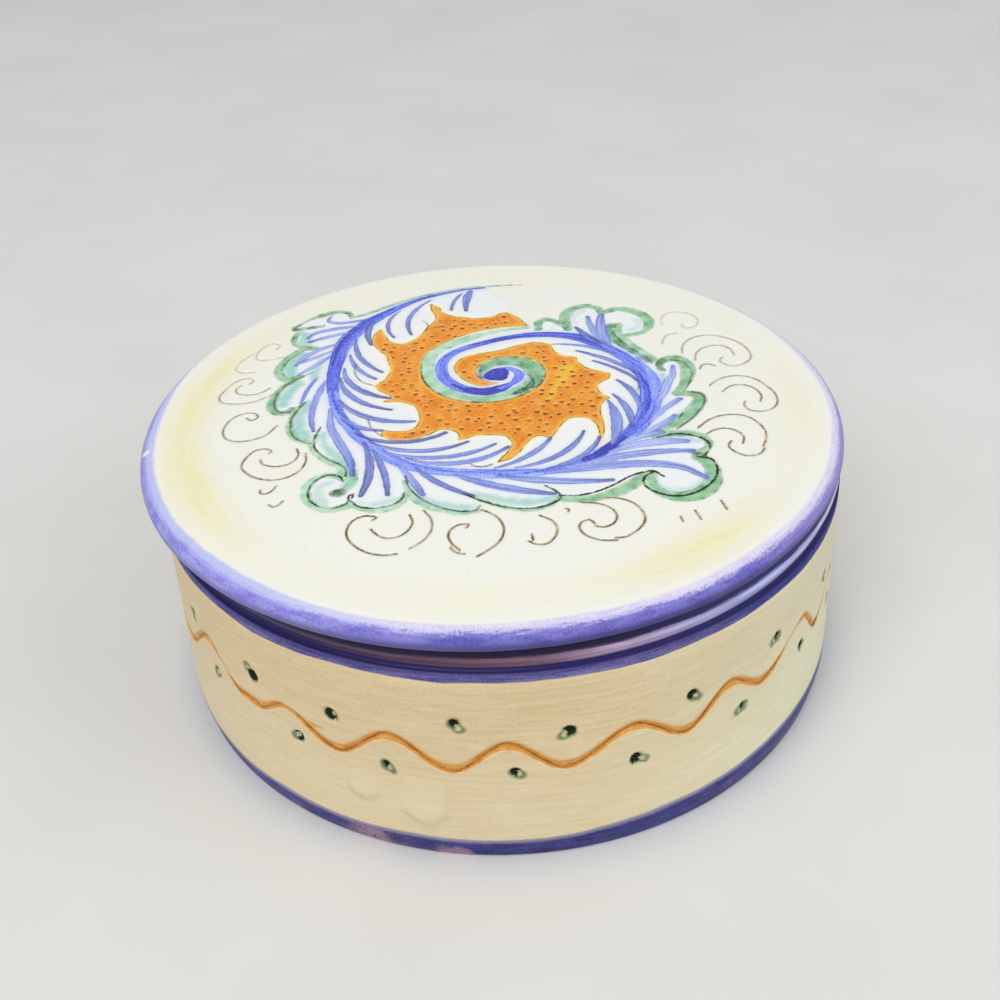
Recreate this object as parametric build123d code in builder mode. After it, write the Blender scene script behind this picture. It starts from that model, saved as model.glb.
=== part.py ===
# A round lidded box of glazed earthenware: a straight-sided pot and a flat lid that lifts off.
# +Z is up. The origin is at the middle of the pot's flat foot, on the pot's own axis.

import os

from build123d import *

# Driving dimensions, in millimetres

# The pot's outside, from the foot up
WALL_RADIUS = 69.3           # widest part of the wall, just above the foot
WALL_LEAN = 0.8              # the wall draws in by this much towards the rim
FOOT_INSET = 0.9             # the flat foot is drawn in from the wall
FOOT_EDGE_ROUND = 0.9        # softened edge that the pot stands on
FOOT_RISE = 4.5              # height at which the foot has swelled out to the wall
FOOT_BLEND = 6.0             # soft turn from the foot into the wall

# The turned moulding under the rim: a groove, and a bead above it
RIM_HEIGHT = 50.5            # height of the flat rim that the lid sits on
BEAD_HEIGHT = 4.0            # from the groove up to the rim
BEAD_INSET = 0.2             # the bead's widest line, in from the top of the wall
BEAD_CREST_RISE = 1.6        # height of the widest line above the bead's lower edge
BEAD_LOWER_INSET = 0.5       # the bead's lower edge, in from its widest line
BEAD_UPPER_INSET = 2.2       # the bead's upper edge, in from its widest line
GROOVE_HEIGHT = 1.5          # width of the groove, measured up the wall
GROOVE_DEPTH = 0.9           # depth of the groove below the wall

# The pot's inside
WALL_THICKNESS = 5.5         # at the top of the wall
MOUTH_ROUND = 1.0            # softened inner edge of the rim
FLOOR_THICKNESS = 6.5
FLOOR_CORNER_ROUND = 6.0     # cove where the floor turns up into the wall

# The lid: a flat plate with a rounded edge, and a locating ring below it
LID_OVERHANG = 0.7           # the lid stands out past the widest part of the wall
LID_THICKNESS = 4.3
LID_EDGE_TOP_ROUND = 2.6
LID_EDGE_LOW_ROUND = 1.5
RING_DEPTH = 6.0             # how far the ring reaches down into the mouth
RING_WALL = 4.5
RING_ROOT_ROUND = 0.8        # fillet between the ring and the lid's seat
RING_EDGE_ROUND = 1.3        # softened lower edges of the ring
CEILING_ROUND = 2.0          # cove inside the ring, under the plate

# The fit between lid and pot
RING_PLAY = 2.0              # radial play of the ring in the mouth
RING_REST_GAP = 0.5          # gap left on the side towards which the lid has slid

# Values worked out from the driving dimensions
foot_radius = WALL_RADIUS - FOOT_INSET
wall_top_radius = WALL_RADIUS - WALL_LEAN
bead_radius = wall_top_radius - BEAD_INSET
mouth_radius = wall_top_radius - WALL_THICKNESS
bead_low = RIM_HEIGHT - BEAD_HEIGHT
groove_low = bead_low - GROOVE_HEIGHT
ring_radius = mouth_radius - RING_PLAY
ring_bore = ring_radius - RING_WALL
lid_radius = WALL_RADIUS + LID_OVERHANG
lid_top = RIM_HEIGHT + LID_THICKNESS
lid_shift = RING_REST_GAP - RING_PLAY

os.makedirs("parts", exist_ok=True)

# The pot, turned from one half-section
with BuildPart() as base:
    with BuildSketch(Plane.XZ):
        with BuildLine():
            outer_wall = FilletPolyline(
                (0, 0),
                (foot_radius, 0),
                (WALL_RADIUS, FOOT_RISE),
                (wall_top_radius, groove_low),
                radius=(FOOT_EDGE_ROUND, FOOT_BLEND),
            )
            groove = ThreePointArc(
                outer_wall @ 1,
                (wall_top_radius - GROOVE_DEPTH, groove_low + GROOVE_HEIGHT / 2),
                (bead_radius - BEAD_LOWER_INSET, bead_low),
            )
            bead = ThreePointArc(
                groove @ 1,
                (bead_radius, bead_low + BEAD_CREST_RISE),
                (bead_radius - BEAD_UPPER_INSET, RIM_HEIGHT),
            )
            inside = FilletPolyline(
                bead @ 1,
                (mouth_radius, RIM_HEIGHT),
                (mouth_radius, FLOOR_THICKNESS),
                (0, FLOOR_THICKNESS),
                radius=(MOUTH_ROUND, FLOOR_CORNER_ROUND),
            )
            Line(inside @ 1, outer_wall @ 0)
        make_face()
    revolve(axis=Axis.Z)
base.part.label = "base"
export_step(base.part, "parts/base.step")

# The lid rests on the rim and has slid to one side by the play of its ring
lid_section = Plane(origin=(lid_shift, 0, 0), x_dir=(1, 0, 0), z_dir=(0, -1, 0))
lid_axis = Axis((lid_shift, 0, 0), (0, 0, 1))

with BuildPart() as lid:
    with BuildSketch(lid_section):
        with BuildLine():
            skin = FilletPolyline(
                (0, lid_top),
                (lid_radius, lid_top),
                (lid_radius, RIM_HEIGHT),
                (ring_radius, RIM_HEIGHT),
                (ring_radius, RIM_HEIGHT - RING_DEPTH),
                (ring_bore, RIM_HEIGHT - RING_DEPTH),
                (ring_bore, RIM_HEIGHT),
                (0, RIM_HEIGHT),
                radius=(
                    LID_EDGE_TOP_ROUND,
                    LID_EDGE_LOW_ROUND,
                    RING_ROOT_ROUND,
                    RING_EDGE_ROUND,
                    RING_EDGE_ROUND,
                    CEILING_ROUND,
                ),
            )
            Line(skin @ 1, skin @ 0)
        make_face()
    revolve(axis=lid_axis)
lid.part.label = "lid"
export_step(lid.part, "parts/lid.step")
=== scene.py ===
import math

import bmesh
import bpy
import numpy as np
from mathutils import Matrix, Vector
from mathutils.geometry import delaunay_2d_cdt


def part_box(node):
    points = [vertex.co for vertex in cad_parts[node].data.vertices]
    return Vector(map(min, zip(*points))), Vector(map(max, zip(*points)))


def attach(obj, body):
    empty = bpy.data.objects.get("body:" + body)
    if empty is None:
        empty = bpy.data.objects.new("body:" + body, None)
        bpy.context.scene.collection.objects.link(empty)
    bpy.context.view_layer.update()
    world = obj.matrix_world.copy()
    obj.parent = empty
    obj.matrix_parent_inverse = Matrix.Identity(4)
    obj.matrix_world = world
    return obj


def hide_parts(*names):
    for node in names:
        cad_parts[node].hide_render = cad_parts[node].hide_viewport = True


# The pot and the lid of a painted earthenware box, with tool marks and glazes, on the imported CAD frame.
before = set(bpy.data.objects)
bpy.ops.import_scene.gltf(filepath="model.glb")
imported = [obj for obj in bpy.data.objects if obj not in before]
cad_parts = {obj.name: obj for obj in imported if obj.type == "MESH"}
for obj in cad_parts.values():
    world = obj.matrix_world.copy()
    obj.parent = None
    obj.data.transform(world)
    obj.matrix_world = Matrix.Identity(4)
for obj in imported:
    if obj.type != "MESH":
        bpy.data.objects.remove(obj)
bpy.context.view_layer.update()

MM = 0.001

# Sizes taken from the CAD frame, in millimetres
base_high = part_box("base")[1] / MM
lid_low, lid_high = [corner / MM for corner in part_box("lid")]
wall_radius = base_high.x
rim_height = base_high.z
lid_radius = (lid_high.x - lid_low.x) / 2
lid_axis = (lid_high.x + lid_low.x) / 2
lid_top = lid_high.z
ring_low = lid_low.z

# The pot's section, in millimetres
WALL_LEAN = 0.8
FOOT_INSET = 0.9
FOOT_ROUND = 0.9
FOOT_RISE = 4.5
FOOT_BLEND = 6.0
GROOVE_LOW = 45.0
GROOVE_HEIGHT = 1.5
GROOVE_DEPTH = 0.9
BEAD_INSET = 0.2
BEAD_CREST = 1.6
BEAD_LOWER_INSET = 0.5
BEAD_UPPER_INSET = 2.2
WALL_THICKNESS = 5.5
MOUTH_ROUND = 1.0
FLOOR_HEIGHT = 6.5
FLOOR_ROUND = 6.0

# The lid's section, in millimetres
LID_TOP_ROUND = 2.6
LID_LOW_ROUND = 1.5
RING_RADIUS = 61.0
RING_BORE = 56.5
RING_ROOT_ROUND = 0.8
RING_EDGE_ROUND = 1.3
CEILING_ROUND = 2.0

# How finely the meshes are cut, in millimetres
SEGMENTS = 480
FINE_STEP = 0.42
LINE_STEP = 0.35
ARC_STEPS = 6
LONGEST_RUN = 6.0
LID_SHEET_RADIUS = 66.0
WALL_SHEET_LOW = 8.0
WALL_SHEET_HIGH = 41.0
LID_EDGE_LENGTH = 12.0        # from the lid's sheet round its edge to the ring
FOOT_EDGE_LENGTH = 8.5        # from the wall sheet down to the flat of the foot

# Tool marks: lengths are in millimetres
SCRATCH_WIDTH = 0.52
CURL_WIDTH = 0.46
SCRATCH_REACH = 0.32          # half the width of a scratched line's hollow
SCRATCH_DEPTH = 0.2
SCRATCH_CLEARANCE = 1.4       # other points keep off a line by this many times that reach
PIT_SEED = 7
PIT_RADII = (0.5, 0.75)
PIT_RINGS = (0.4, 0.75, 1.1)  # rings of points round a pit, in radii of the largest one
PIT_DEPTH = 0.45
PIT_SPACING = 2.75
PIT_JITTER = 0.85
PIT_MARGIN = 0.9
PITS_LOW = (-27, -22)         # the lattice of pits lies between these corners
PITS_HIGH = (27, 50)
# The dark core of each pit is painted shade, set towards the pit's far side.
PIT_CORE = 1.1                # the dark core's size, in radii of its pit
PIT_CORE_SHIFT = (0, 0.14)
PIT_CORE_SQUASH = (1, 1.8)    # the core is this many times shorter each way
VEIN_TIP = 0.22               # a vein is darker at its tip by this much
VEIN_START = 0.4              # and starts at this share of its width
WAVE_REACH = 1.1              # the fine rows of points reach this far to either side of the wavy line
WAVE_ROWS = 13
WAVE_WIDE = 2.2
WAVE_NARROW = 1.5
WAVE_CLIMB = 1.3              # how fast the groove narrows as the line climbs
WAVE_BEND = 4.0               # how fast its deepest line moves over where the line bends
WAVE_LEAN = 0.5               # how far over that line moves, as a share of the groove's half width
WAVE_DROOP = 0.25             # and how far below the middle it lies elsewhere
WAVE_DEPTH = 0.4
WAVE_BURR = 0.12
LIP_WIDTH = 0.16
WALL_DOT_RADIUS = 1.35        # of a usual dot
WALL_DOT_DEPTH = 0.8
WALL_DOT_RINGS = (0.3, 0.6, 0.9, 1.1, 1.4)   # rings of points round a dot, in that radius
WALL_DOT_CLEARANCE = 1.6      # other points keep off a dot by this many times that radius
DOT_TAIL_WIDTHS = (2.5, 1.9)
GLINT_RADIUS = 0.68
GLINT_PLACE = 0.75            # share of the way from a dot to the end of its tail
DOT_RISE = 7.6                # from a turn of the wavy line to the dot across from it
SEAM_POINTS = 60

# The wavy line on the wall, by its lowest and highest places, as (arc from the near side, height)
WAVE_SEEN = [
    (-79, 23.4), (-66.8, 30.9), (-56.4, 24.6), (-51.4, 24.6), (-44, 27.9), (-33, 23), (-22.4, 29.2),
    (-11.2, 23.1), (-1.4, 28.8), (8.8, 23.1), (21.2, 28.8), (31.8, 23.6), (41.4, 29.3), (50.4, 24.8),
    (64, 30.4), (71.6, 23.8), (81, 29.4),
]
# where the tool pressed less: (arc, spread along, share that is missing)
WAVE_THIN = [(-61.6, 4.5, 0.6), (-43.4, 2.6, 0.5), (60, 5, 0.75), (78, 5, 0.6)]
WAVE_FORK = [(-40.6, 26.9), (-38.2, 26.4), (-35.6, 26.5)]
FORK_WIDTHS = (0.6, 0.75, 0.3)
# On the far side the line goes on in the same rhythm, a little uneven.
HIDDEN_SEED = 4
HIDDEN_TURNS = 25
HIDDEN_WAVE_HEIGHTS = (23.8, 29.2)
HIDDEN_ARC_PLAY = 1.0
HIDDEN_HEIGHT_PLAY = 0.4
# The punched dots, each with its tail of wet glaze: (arc, height, radius, and the tail's way along and up)
WALL_DOTS = [
    (-73, 33, 1.1, 0.2, -0.8), (-51.8, 31.1, 1.65, -1, 2), (-33.5, 30.6, 1.6, 0.8, 0),
    (-10.4, 33.7, 1.18, 1.1, -1.2), (9.4, 30.8, 1.35, -1.2, -0.8), (32.7, 31, 1.4, 1.1, -0.9),
    (54.2, 32.6, 1.1, -1.5, -0.4), (75.6, 32.1, 1.2, -0.8, 0.3), (-64.8, 24, 1.2, -0.5, -0.6),
    (-41.5, 21.9, 1.38, -0.7, -0.2), (-23.4, 21.9, 1.06, 1.2, -0.9), (-0.2, 22.2, 1.28, 1, -0.5),
    (21.6, 20.8, 1.45, 1.4, -0.6), (45.1, 21.6, 0.98, -1.7, -0.6), (64.3, 23.4, 1.3, -0.6, 0.6),
    (82, 22, 1.2, -0.8, -0.4),
]
HIDDEN_DOT_SEED = 9
HIDDEN_DOT_RADII = (1.1, 1.5)
HIDDEN_TAILS_ALONG = (-1.3, 1.3)
HIDDEN_TAILS_UP = (-1, 0.2)

# Where the blue bands are rubbed: (arc, height, spread along, spread up, strength)
WORN_PATCHES = [
    (-29, 2.2, 4, 3, 0.8), (-26, 1.8, 12, 3, 0.45), (-11.6, 1.0, 4, 1.6, 0.9), (-45, 0, 4, 1.9, 0.5),
    (42, 3, 8, 3, 0.35), (105, 0, 6, 1.9, 0.8), (160, 0, 5, 1.9, 0.8), (-150, 0, 6, 1.9, 0.7),
    (28.1, 44, 1.8, 0.9, 1.2), (3, 42.6, 6, 1.9, 0.4), (-140, 43.6, 3, 1.9, 0.7), (118, 44, 3, 1.9, 0.6),
]

# A small chip in the glaze of the lid's edge, painted at this place in the shared frame
CHIP_PLACE = (-69.4, -10.0, 54.5)
CHIP_RADIUS = 0.9
CHIP_SOFTNESS = 0.15

# Drips of slip on the wall, by their round ends: (arc, height of the middle, radius)
SLIP_DRIPS = [(-28.4, 14.9, 3.0), (-16.8, 12.8, 4.2)]
DRIP_RISE = 0.22
DRIP_SLOPE = 1.1              # from a drip's outline to its full thickness
DRIP_RUN = 8.0                # a drip thins out over this height above its round end
DRIP_END = 0.8                # share of the radius over which the shade under the end fades in

# The leaf on the lid, in millimetres from the lid's axis: +x to the right and +y away from the viewer.
# Each stroke is its tone, from 0 (pale) to 1 and more (deep), its widths, spread evenly along it, and the
# points that it runs through.
MIDRIB = [
    (0.75, [0.8, 1.2, 1.7, 2.6, 3.7, 4.0, 3.9, 3.2, 2.8, 2.6],
     [(0, 55.6), (-5, 55), (-10, 53.4), (-14.5, 51.5), (-19, 48.4), (-23, 44.6), (-26.8, 40.4), (-29, 36.8),
      (-30.8, 33.4), (-31.9, 29.4), (-32.5, 24.3), (-32.9, 19), (-32.9, 13.6), (-32.4, 9)]),
    (0.45, [2.6, 2.5, 2.6, 2.8, 2.9, 2.8, 2.6, 2.5, 2.2, 1.8],
     [(-32.4, 9), (-31.4, 3.9), (-30.2, -0.4), (-28.6, -3.9), (-26.8, -7.5), (-24.6, -10.7), (-21.8, -14.3),
      (-18.9, -17.5), (-15.6, -20), (-11.4, -21.8), (-7.1, -22.9), (-2, -23.6), (5, -24.1), (10, -24.2),
      (14, -23.2), (17, -21.6)]),
    (0.66, [2.8, 3.8, 4.3, 4.5, 4.5, 4.0, 3.2, 3.3, 3.5],
     [(20.6, -18.9), (23.2, -16.6), (26.1, -13.4), (28.9, -9.9), (31.1, -5.6), (32.3, -0.9),
      (33, 3.7), (33, 8.5), (31.9, 12.5), (30.2, 16.3), (28.2, 19.8), (25.4, 23.4), (22.6, 26.4)]),
    # single brush hairs along the stem, deeper or paler than it
    (0.95, [0.4, 1.4, 1.2, 0.4], [(-21, 47.4), (-27.6, 40.8), (-32.2, 31), (-33.6, 21)]),
    (0.5, [0.4, 1.1, 0.4], [(-23.6, 42.4), (-28.6, 34.4), (-30.8, 25.4)]),
    (0.75, [0.4, 1.1, 1.2, 0.4], [(-32.8, 20), (-32.6, 9), (-29.2, -1.4), (-24, -10)]),
    (0.66, [0.4, 1.2, 1.1, 0.4], [(-21.4, -13.4), (-13.6, -20.4), (-3, -22.8), (8, -23.6)]),
    (0.32, [0.5, 1.4, 0.5], [(-16, -20.6), (-5, -24.4), (8, -25.2)]),
    (0.1, [0.15, 0.5, 0.15], [(-14.4, -19.2), (-8.6, -21.7), (-2, -22.5)]),
    (0.1, [0.15, 0.4, 0.15], [(-3, -24), (5, -24.9), (12, -24.7)]),
    (0.68, [0.4, 1.2, 0.4], [(0, -24.2), (9.6, -23.8), (17, -21)]),
    (0.85, [0.4, 1.5, 1.3, 0.4], [(24.4, -14.6), (30, -6.6), (32.4, 3), (31.4, 12)]),
    (0.42, [0.8, 2.2, 2.6, 1.0], [(31.9, 18), (33.5, 13), (34.4, 7), (33.4, 0.6)]),
    (0.5, [0.4, 1.3, 0.4], [(28.6, -12), (33.8, -3), (34.6, 7)]),
    (1.0, [2.0, 3.0, 2.4], [(17.8, -20.8), (21.4, -18.3), (25.4, -14.2)]),
    (0.85, [3.4, 2.8, 2.4, 2.4, 2.1, 2.0, 2.0, 2.1],
     [(23.4, 25.6), (20.6, 28), (18, 29.2), (14.5, 30.2), (10.4, 30.5), (6.8, 30.2), (3, 29.3), (-0.6, 27.9),
      (-4.4, 26.2)]),
    (0.62, [2.1, 2.5, 2.7, 2.8, 2.9, 2.9],
     [(-4.4, 26.2), (-7.1, 24.2), (-9, 21.6), (-9.8, 19), (-9.8, 16.1), (-9.2, 13.2), (-7.7, 10.6),
      (-5.5, 8.4), (-2.6, 6.9)]),
    (1.02, [1.0, 2.7, 3.2, 2.9, 1.5], [(-7.4, 10.2), (-4.4, 7.7), (-1, 6.7), (2.3, 7.6), (4.6, 9.2)]),
    (0.64, [1.4, 2.4, 2.0, 1.6, 1.3],
     [(2.6, 7.8), (4.5, 9), (6.1, 11), (6.6, 12.9), (5.8, 14.8), (4.2, 15.8), (2.6, 15.9)]),
    (1.12, [4.2, 4.8, 4.0], [(1.1, 13.1), (1.7, 13.6), (2.4, 14.2)]),
    (1.3, [0.6, 1.4, 0.8], [(0.2, 12.2), (2, 11.4), (3.8, 12.2)]),
    (0.84, [0.4, 0.7, 0.4], [(0.8, 15.2), (1, 13.8), (0.8, 12.6)]),
    (0.88, [0.4, 0.7, 0.4], [(2.6, 15), (2.7, 13.7), (2.6, 12.6)]),
]
INNER_VEINS = [
    (0.55, [1.0, 0.9, 0.8], [(-5.2, 53.4), (-7.3, 48.4), (-7.8, 44.8)]),
    (0.6, [2.4, 1.5, 0.9], [(-3.2, 54.4), (-4.2, 50), (-4.4, 44.1)]),
    (0.6, [1.2, 1.3, 0.7], [(-12.5, 50.4), (-17.2, 42.6), (-16.7, 33.6)]),
    (0.6, [1.0, 1.0, 0.7], [(-19.6, 45.7), (-22.2, 38.4), (-20.6, 32.7)]),
    (0.65, [1.7, 1.4, 0.8], [(-25.6, 41), (-26.6, 35.4), (-25.5, 29.8)]),
    (0.6, [1.3, 1.4, 0.8], [(-28.9, 33), (-28.1, 25.4), (-22.5, 17.1)]),
    (0.55, [1.3, 1.2, 0.8], [(-29.9, 25.7), (-28, 19.4), (-23.8, 14.4)]),
    (0.6, [1.5, 1.7, 0.9], [(-30.8, 19.6), (-27.6, 10.8), (-20.5, 6)]),
    (0.6, [1.5, 1.5, 0.8], [(-31.4, 15.7), (-28, 6.8), (-20, 1.3)]),
    (0.6, [1.5, 1.7, 0.9], [(-31, 6.4), (-25.8, -0.4), (-15.2, -3.7)]),
    (0.55, [1.5, 1.4, 0.7], [(-30.4, 1.1), (-27, -4.3), (-21.4, -6.6)]),
    (0.75, [1.3, 1.3, 1.1], [(-27, -6.8), (-19.4, -11.1), (-8.9, -8.6)]),
    (0.55, [1.4, 1.5, 0.8], [(-23.9, -10.4), (-15.4, -14.7), (-4.6, -12.3)]),
    (0.5, [1.4, 1.5, 0.8], [(-19.6, -15), (-9.6, -17.5), (0.7, -13.7)]),
    (0.5, [1.5, 1.6, 0.9], [(-16.6, -17.1), (-7.4, -19.8), (3.2, -15)]),
    (0.5, [1.3, 1.5, 0.8], [(0.4, -22.2), (7, -18.4), (11.6, -12.5)]),
    (0.55, [1.5, 1.5, 0.7], [(4.3, -22.5), (13.4, -18.2), (18.2, -10.6)]),
    (0.55, [1.4, 1.4, 0.8], [(10.4, -23.1), (18.2, -18.4), (21.1, -13)]),
    (0.5, [2.4, 2.3, 0.6], [(23.3, -15.6), (25, -7), (24, 0.6)]),
    (0.6, [1.7, 1.6, 0.6], [(27.6, -9.9), (27.6, -3.4), (25.2, 3)]),
    (0.6, [1.6, 1.5, 0.7], [(29.9, -3.8), (29.6, 2.6), (26.6, 8.7)]),
    (0.6, [1.2, 1.0, 0.7], [(31.4, 7.4), (28, 12.4), (22.5, 17.3)]),
    (0.6, [1.5, 1.3, 0.7], [(31.2, 10.7), (26.6, 16.6), (19.3, 22.1)]),
    (0.5, [1.3, 1.0, 0.5], [(27.1, 20), (21.4, 24), (14.5, 25.7)]),
]
OUTER_VEINS = [
    (0.42, [1.0, 1.2, 1.0, 0.8], [(-35.4, 45.2), (-35.9, 42.4), (-33.6, 41.1), (-26.5, 42.3)]),
    (0.42, [1.5, 1.4, 1.0], [(-28.5, 39.3), (-34, 38.3), (-38.6, 36.6), (-40, 34.5)]),
    (0.37, [1.3, 1.3, 0.9], [(-30.5, 36.3), (-35, 34.8), (-39.5, 32.6)]),
    (0.35, [1.5, 1.5, 0.8], [(-33, 31), (-37.6, 28), (-41.5, 22)]),
    (0.32, [1.2, 1.2, 0.7], [(-33.6, 28), (-37, 25.6), (-40.5, 23)]),
    (0.32, [1.3, 1.3, 0.7], [(-34, 26), (-37.4, 21.4), (-40.5, 17.8)]),
    (0.42, [1.0, 0.9, 0.7], [(-36.2, 16.5), (-38, 11), (-38.8, 5.5)]),
    (0.42, [1.3, 1.2, 0.7], [(-34.2, 15), (-35.6, 9.8), (-36.3, 4.5)]),
    (0.42, [1.5, 1.4, 0.8], [(-34.6, 11), (-36.2, 1), (-35.2, -5.5)]),
    (0.45, [1.6, 1.9, 2.0, 1.8, 1.2], [(-32.6, 3), (-31.8, -4.5), (-29.5, -11), (-27.3, -17), (-26.4, -22)]),
    (0.65, [1.7, 1.9, 1.2], [(-25, -10.6), (-23.3, -20), (-24.5, -29)]),
    (0.6, [1.5, 1.4, 1.0], [(-23, -13.6), (-20.7, -21), (-19.5, -29.2)]),
    (0.42, [1.5, 1.6, 1.2], [(-18, -19.2), (-15.3, -24.5), (-13, -29.8)]),
    (0.65, [1.6, 1.5, 0.9], [(-14.6, -20.5), (-10.5, -25.8), (-3.8, -31)]),
    (0.5, [2.2, 2.2, 1.1], [(-7, -23.8), (1.5, -28.6), (11, -31.6)]),
    (0.46, [2.3, 1.9, 1.1], [(1, -24.8), (11, -27.4), (22, -28.2)]),
    (0.42, [2.6, 2.5, 2.1, 1.2], [(10, -24.6), (22, -23.3), (30, -23.4), (35.5, -25.2), (39.2, -29)]),
    (0.42, [2.4, 2.2, 1.2], [(14, -23.8), (24, -20.4), (38.3, -19.7)]),
    (0.3, [2.4, 2.7, 1.4], [(22.6, -18.8), (30, -16.2), (37.6, -16.3)]),
    (0.26, [1.8, 2.3, 1.3], [(24.6, -16.4), (29.4, -13.4), (33.4, -12.6)]),
    (0.34, [1.5, 1.5, 1.0], [(28.5, -13.4), (33, -10.2), (36.6, -6.6)]),
    (0.28, [1.4, 1.6, 1.3], [(31.4, -8.8), (34.2, -4.8), (38.5, -0.3)]),
    (0.32, [1.4, 2.2, 1.9, 1.4, 1.0], [(33.3, -2.1), (35.4, 2.1), (36.7, 5.8), (38.3, 9.5), (39, 13.2)]),
    (0.7, [2.0, 1.7, 1.0], [(24.6, 24.6), (21.8, 29.3), (20, 33)]),
    (0.42, [1.6, 1.5, 0.9], [(25, 26), (23.6, 31.5), (23.1, 38)]),
    (0.45, [2.6, 2.4, 1.5], [(26.8, 23), (25.6, 31), (26.2, 38.4)]),
]
# The green border runs round the leaf from its root, lobe by lobe, and also gives the leaf's outline.
GREEN_BORDER = [
    (0.45, [0.5, 0.9, 1.0, 0.9],
     [(9, 56), (3, 56.3), (-4, 55.9), (-10, 54.3), (-17, 51.6), (-22, 48.6), (-28, 44.6), (-31, 43.4)]),
    (0.6, [1.2, 1.8, 1.8, 0.8, 0.7, 1.0],
     [(-30.8, 44.3), (-31.6, 46), (-34, 46.7), (-36.6, 45.9), (-40.4, 43.4), (-43.6, 39.7)]),
    (0.5, [1.2, 1.2, 1.6, 1.9, 1.8],
     [(-43.4, 39), (-41.9, 38.6), (-42.8, 36), (-42.8, 33), (-40.8, 30.3), (-38, 29.5)]),
    (0.4, [1.4, 2.0, 2.1, 1.7],
     [(-40, 29.9), (-43, 26.6), (-44.7, 22), (-44.5, 18), (-42.8, 16), (-41, 16.8)]),
    (0.45, [1.3, 1.8, 2.0, 1.9],
     [(-39.6, 17.2), (-42.8, 13.6), (-44.6, 9), (-44.8, 4.7), (-43, 2.3), (-41, 2.4)]),
    (0.35, [1.1, 1.7, 1.5], [(-38.4, 5.4), (-40.2, 0), (-40, -5), (-38, -8.4), (-35.4, -10)]),
    (0.2, [1.1, 1.9, 1.9], [(-34.4, -7), (-35, -11.6), (-32.2, -16), (-29, -18.8), (-27.8, -22.3)]),
    (0.15, [1.5, 1.9, 2.1, 2.1, 1.9],
     [(-28.2, -23.2), (-30.4, -21.7), (-32.7, -22.2), (-34.6, -24.9), (-34.7, -28.1), (-33.2, -31.1),
      (-29.9, -33), (-26.6, -31.9)]),
    (0.15, [1.2, 1.8, 1.4], [(-26.4, -31.2), (-24, -33.5), (-20.5, -34), (-17.4, -32.4), (-16.2, -29.6)]),
    (0.25, [1.0, 1.4, 1.2], [(-16.4, -25), (-15.4, -29.8), (-12, -33.7), (-6.4, -36), (-3, -35.7)]),
    (0.25, [0.9, 1.1, 0.9], [(-4, -31), (0, -34.1), (5, -36.2), (9, -35.6), (12, -33.4)]),
    (0.46, [2.0, 2.9, 2.6], [(12.4, -33.2), (17, -33.9), (22, -32.4), (26, -29.5), (28.2, -27.2)]),
    (0.46, [2.2, 2.6, 3.6, 3.4, 3.0, 2.6],
     [(29.4, -26.8), (28.9, -29.4), (30, -32.4), (32.8, -34.5), (36.2, -34.4), (38.9, -32.7), (40.4, -29.8),
      (40.8, -26.4), (40.2, -23.6), (38.8, -22.2)]),
    (0.52, [1.4, 2.1, 1.8],
     [(38.4, -20.6), (41.2, -18.8), (41.6, -16.4), (40, -14.2), (36.5, -13.2), (32, -13.8)]),
    (0.45, [1.6, 2.8, 3.2, 2.8, 1.8],
     [(31.6, -12.6), (35.4, -10.6), (39, -7), (41.4, -3.4), (42.5, -0.6), (41.9, 1.2), (39.6, 1.4)]),
    (0.48, [2.0, 2.8, 3.2, 2.8, 2.2],
     [(38.2, 1.8), (40, 5), (41.3, 8.6), (41.9, 12), (41.3, 15), (39.5, 16.7), (37.5, 16)]),
    (0.45, [1.2, 1.8, 1.6], [(36, 16), (33.4, 20.2), (30.6, 24.8), (29.6, 28)]),
    (0.45, [1.6, 2.6, 2.6, 2.1, 1.7],
     [(31, 28), (34.6, 29.3), (36.4, 33), (35.8, 36.4), (33.4, 39.6), (30, 40.9), (27, 39.7)]),
    (0.48, [1.8, 2.4, 2.4, 1.9],
     [(26.2, 39.6), (25.2, 42.2), (22.4, 43.2), (19.6, 41.8), (18.1, 39), (17.8, 36), (18.3, 32.4)]),
    (0.58, [1.5, 1.9, 1.6], [(17.8, 33.6), (16.2, 35.7), (13.6, 37.6), (12, 36.4), (11.6, 33)]),
]
LEAF_ROOT = [(9.3, 35.3), (5.4, 41.6), (5.6, 45), (4.6, 49), (0.5, 52.6)]
ROOT_POINTS = 2               # points of the border's tip, beyond the leaf
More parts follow.
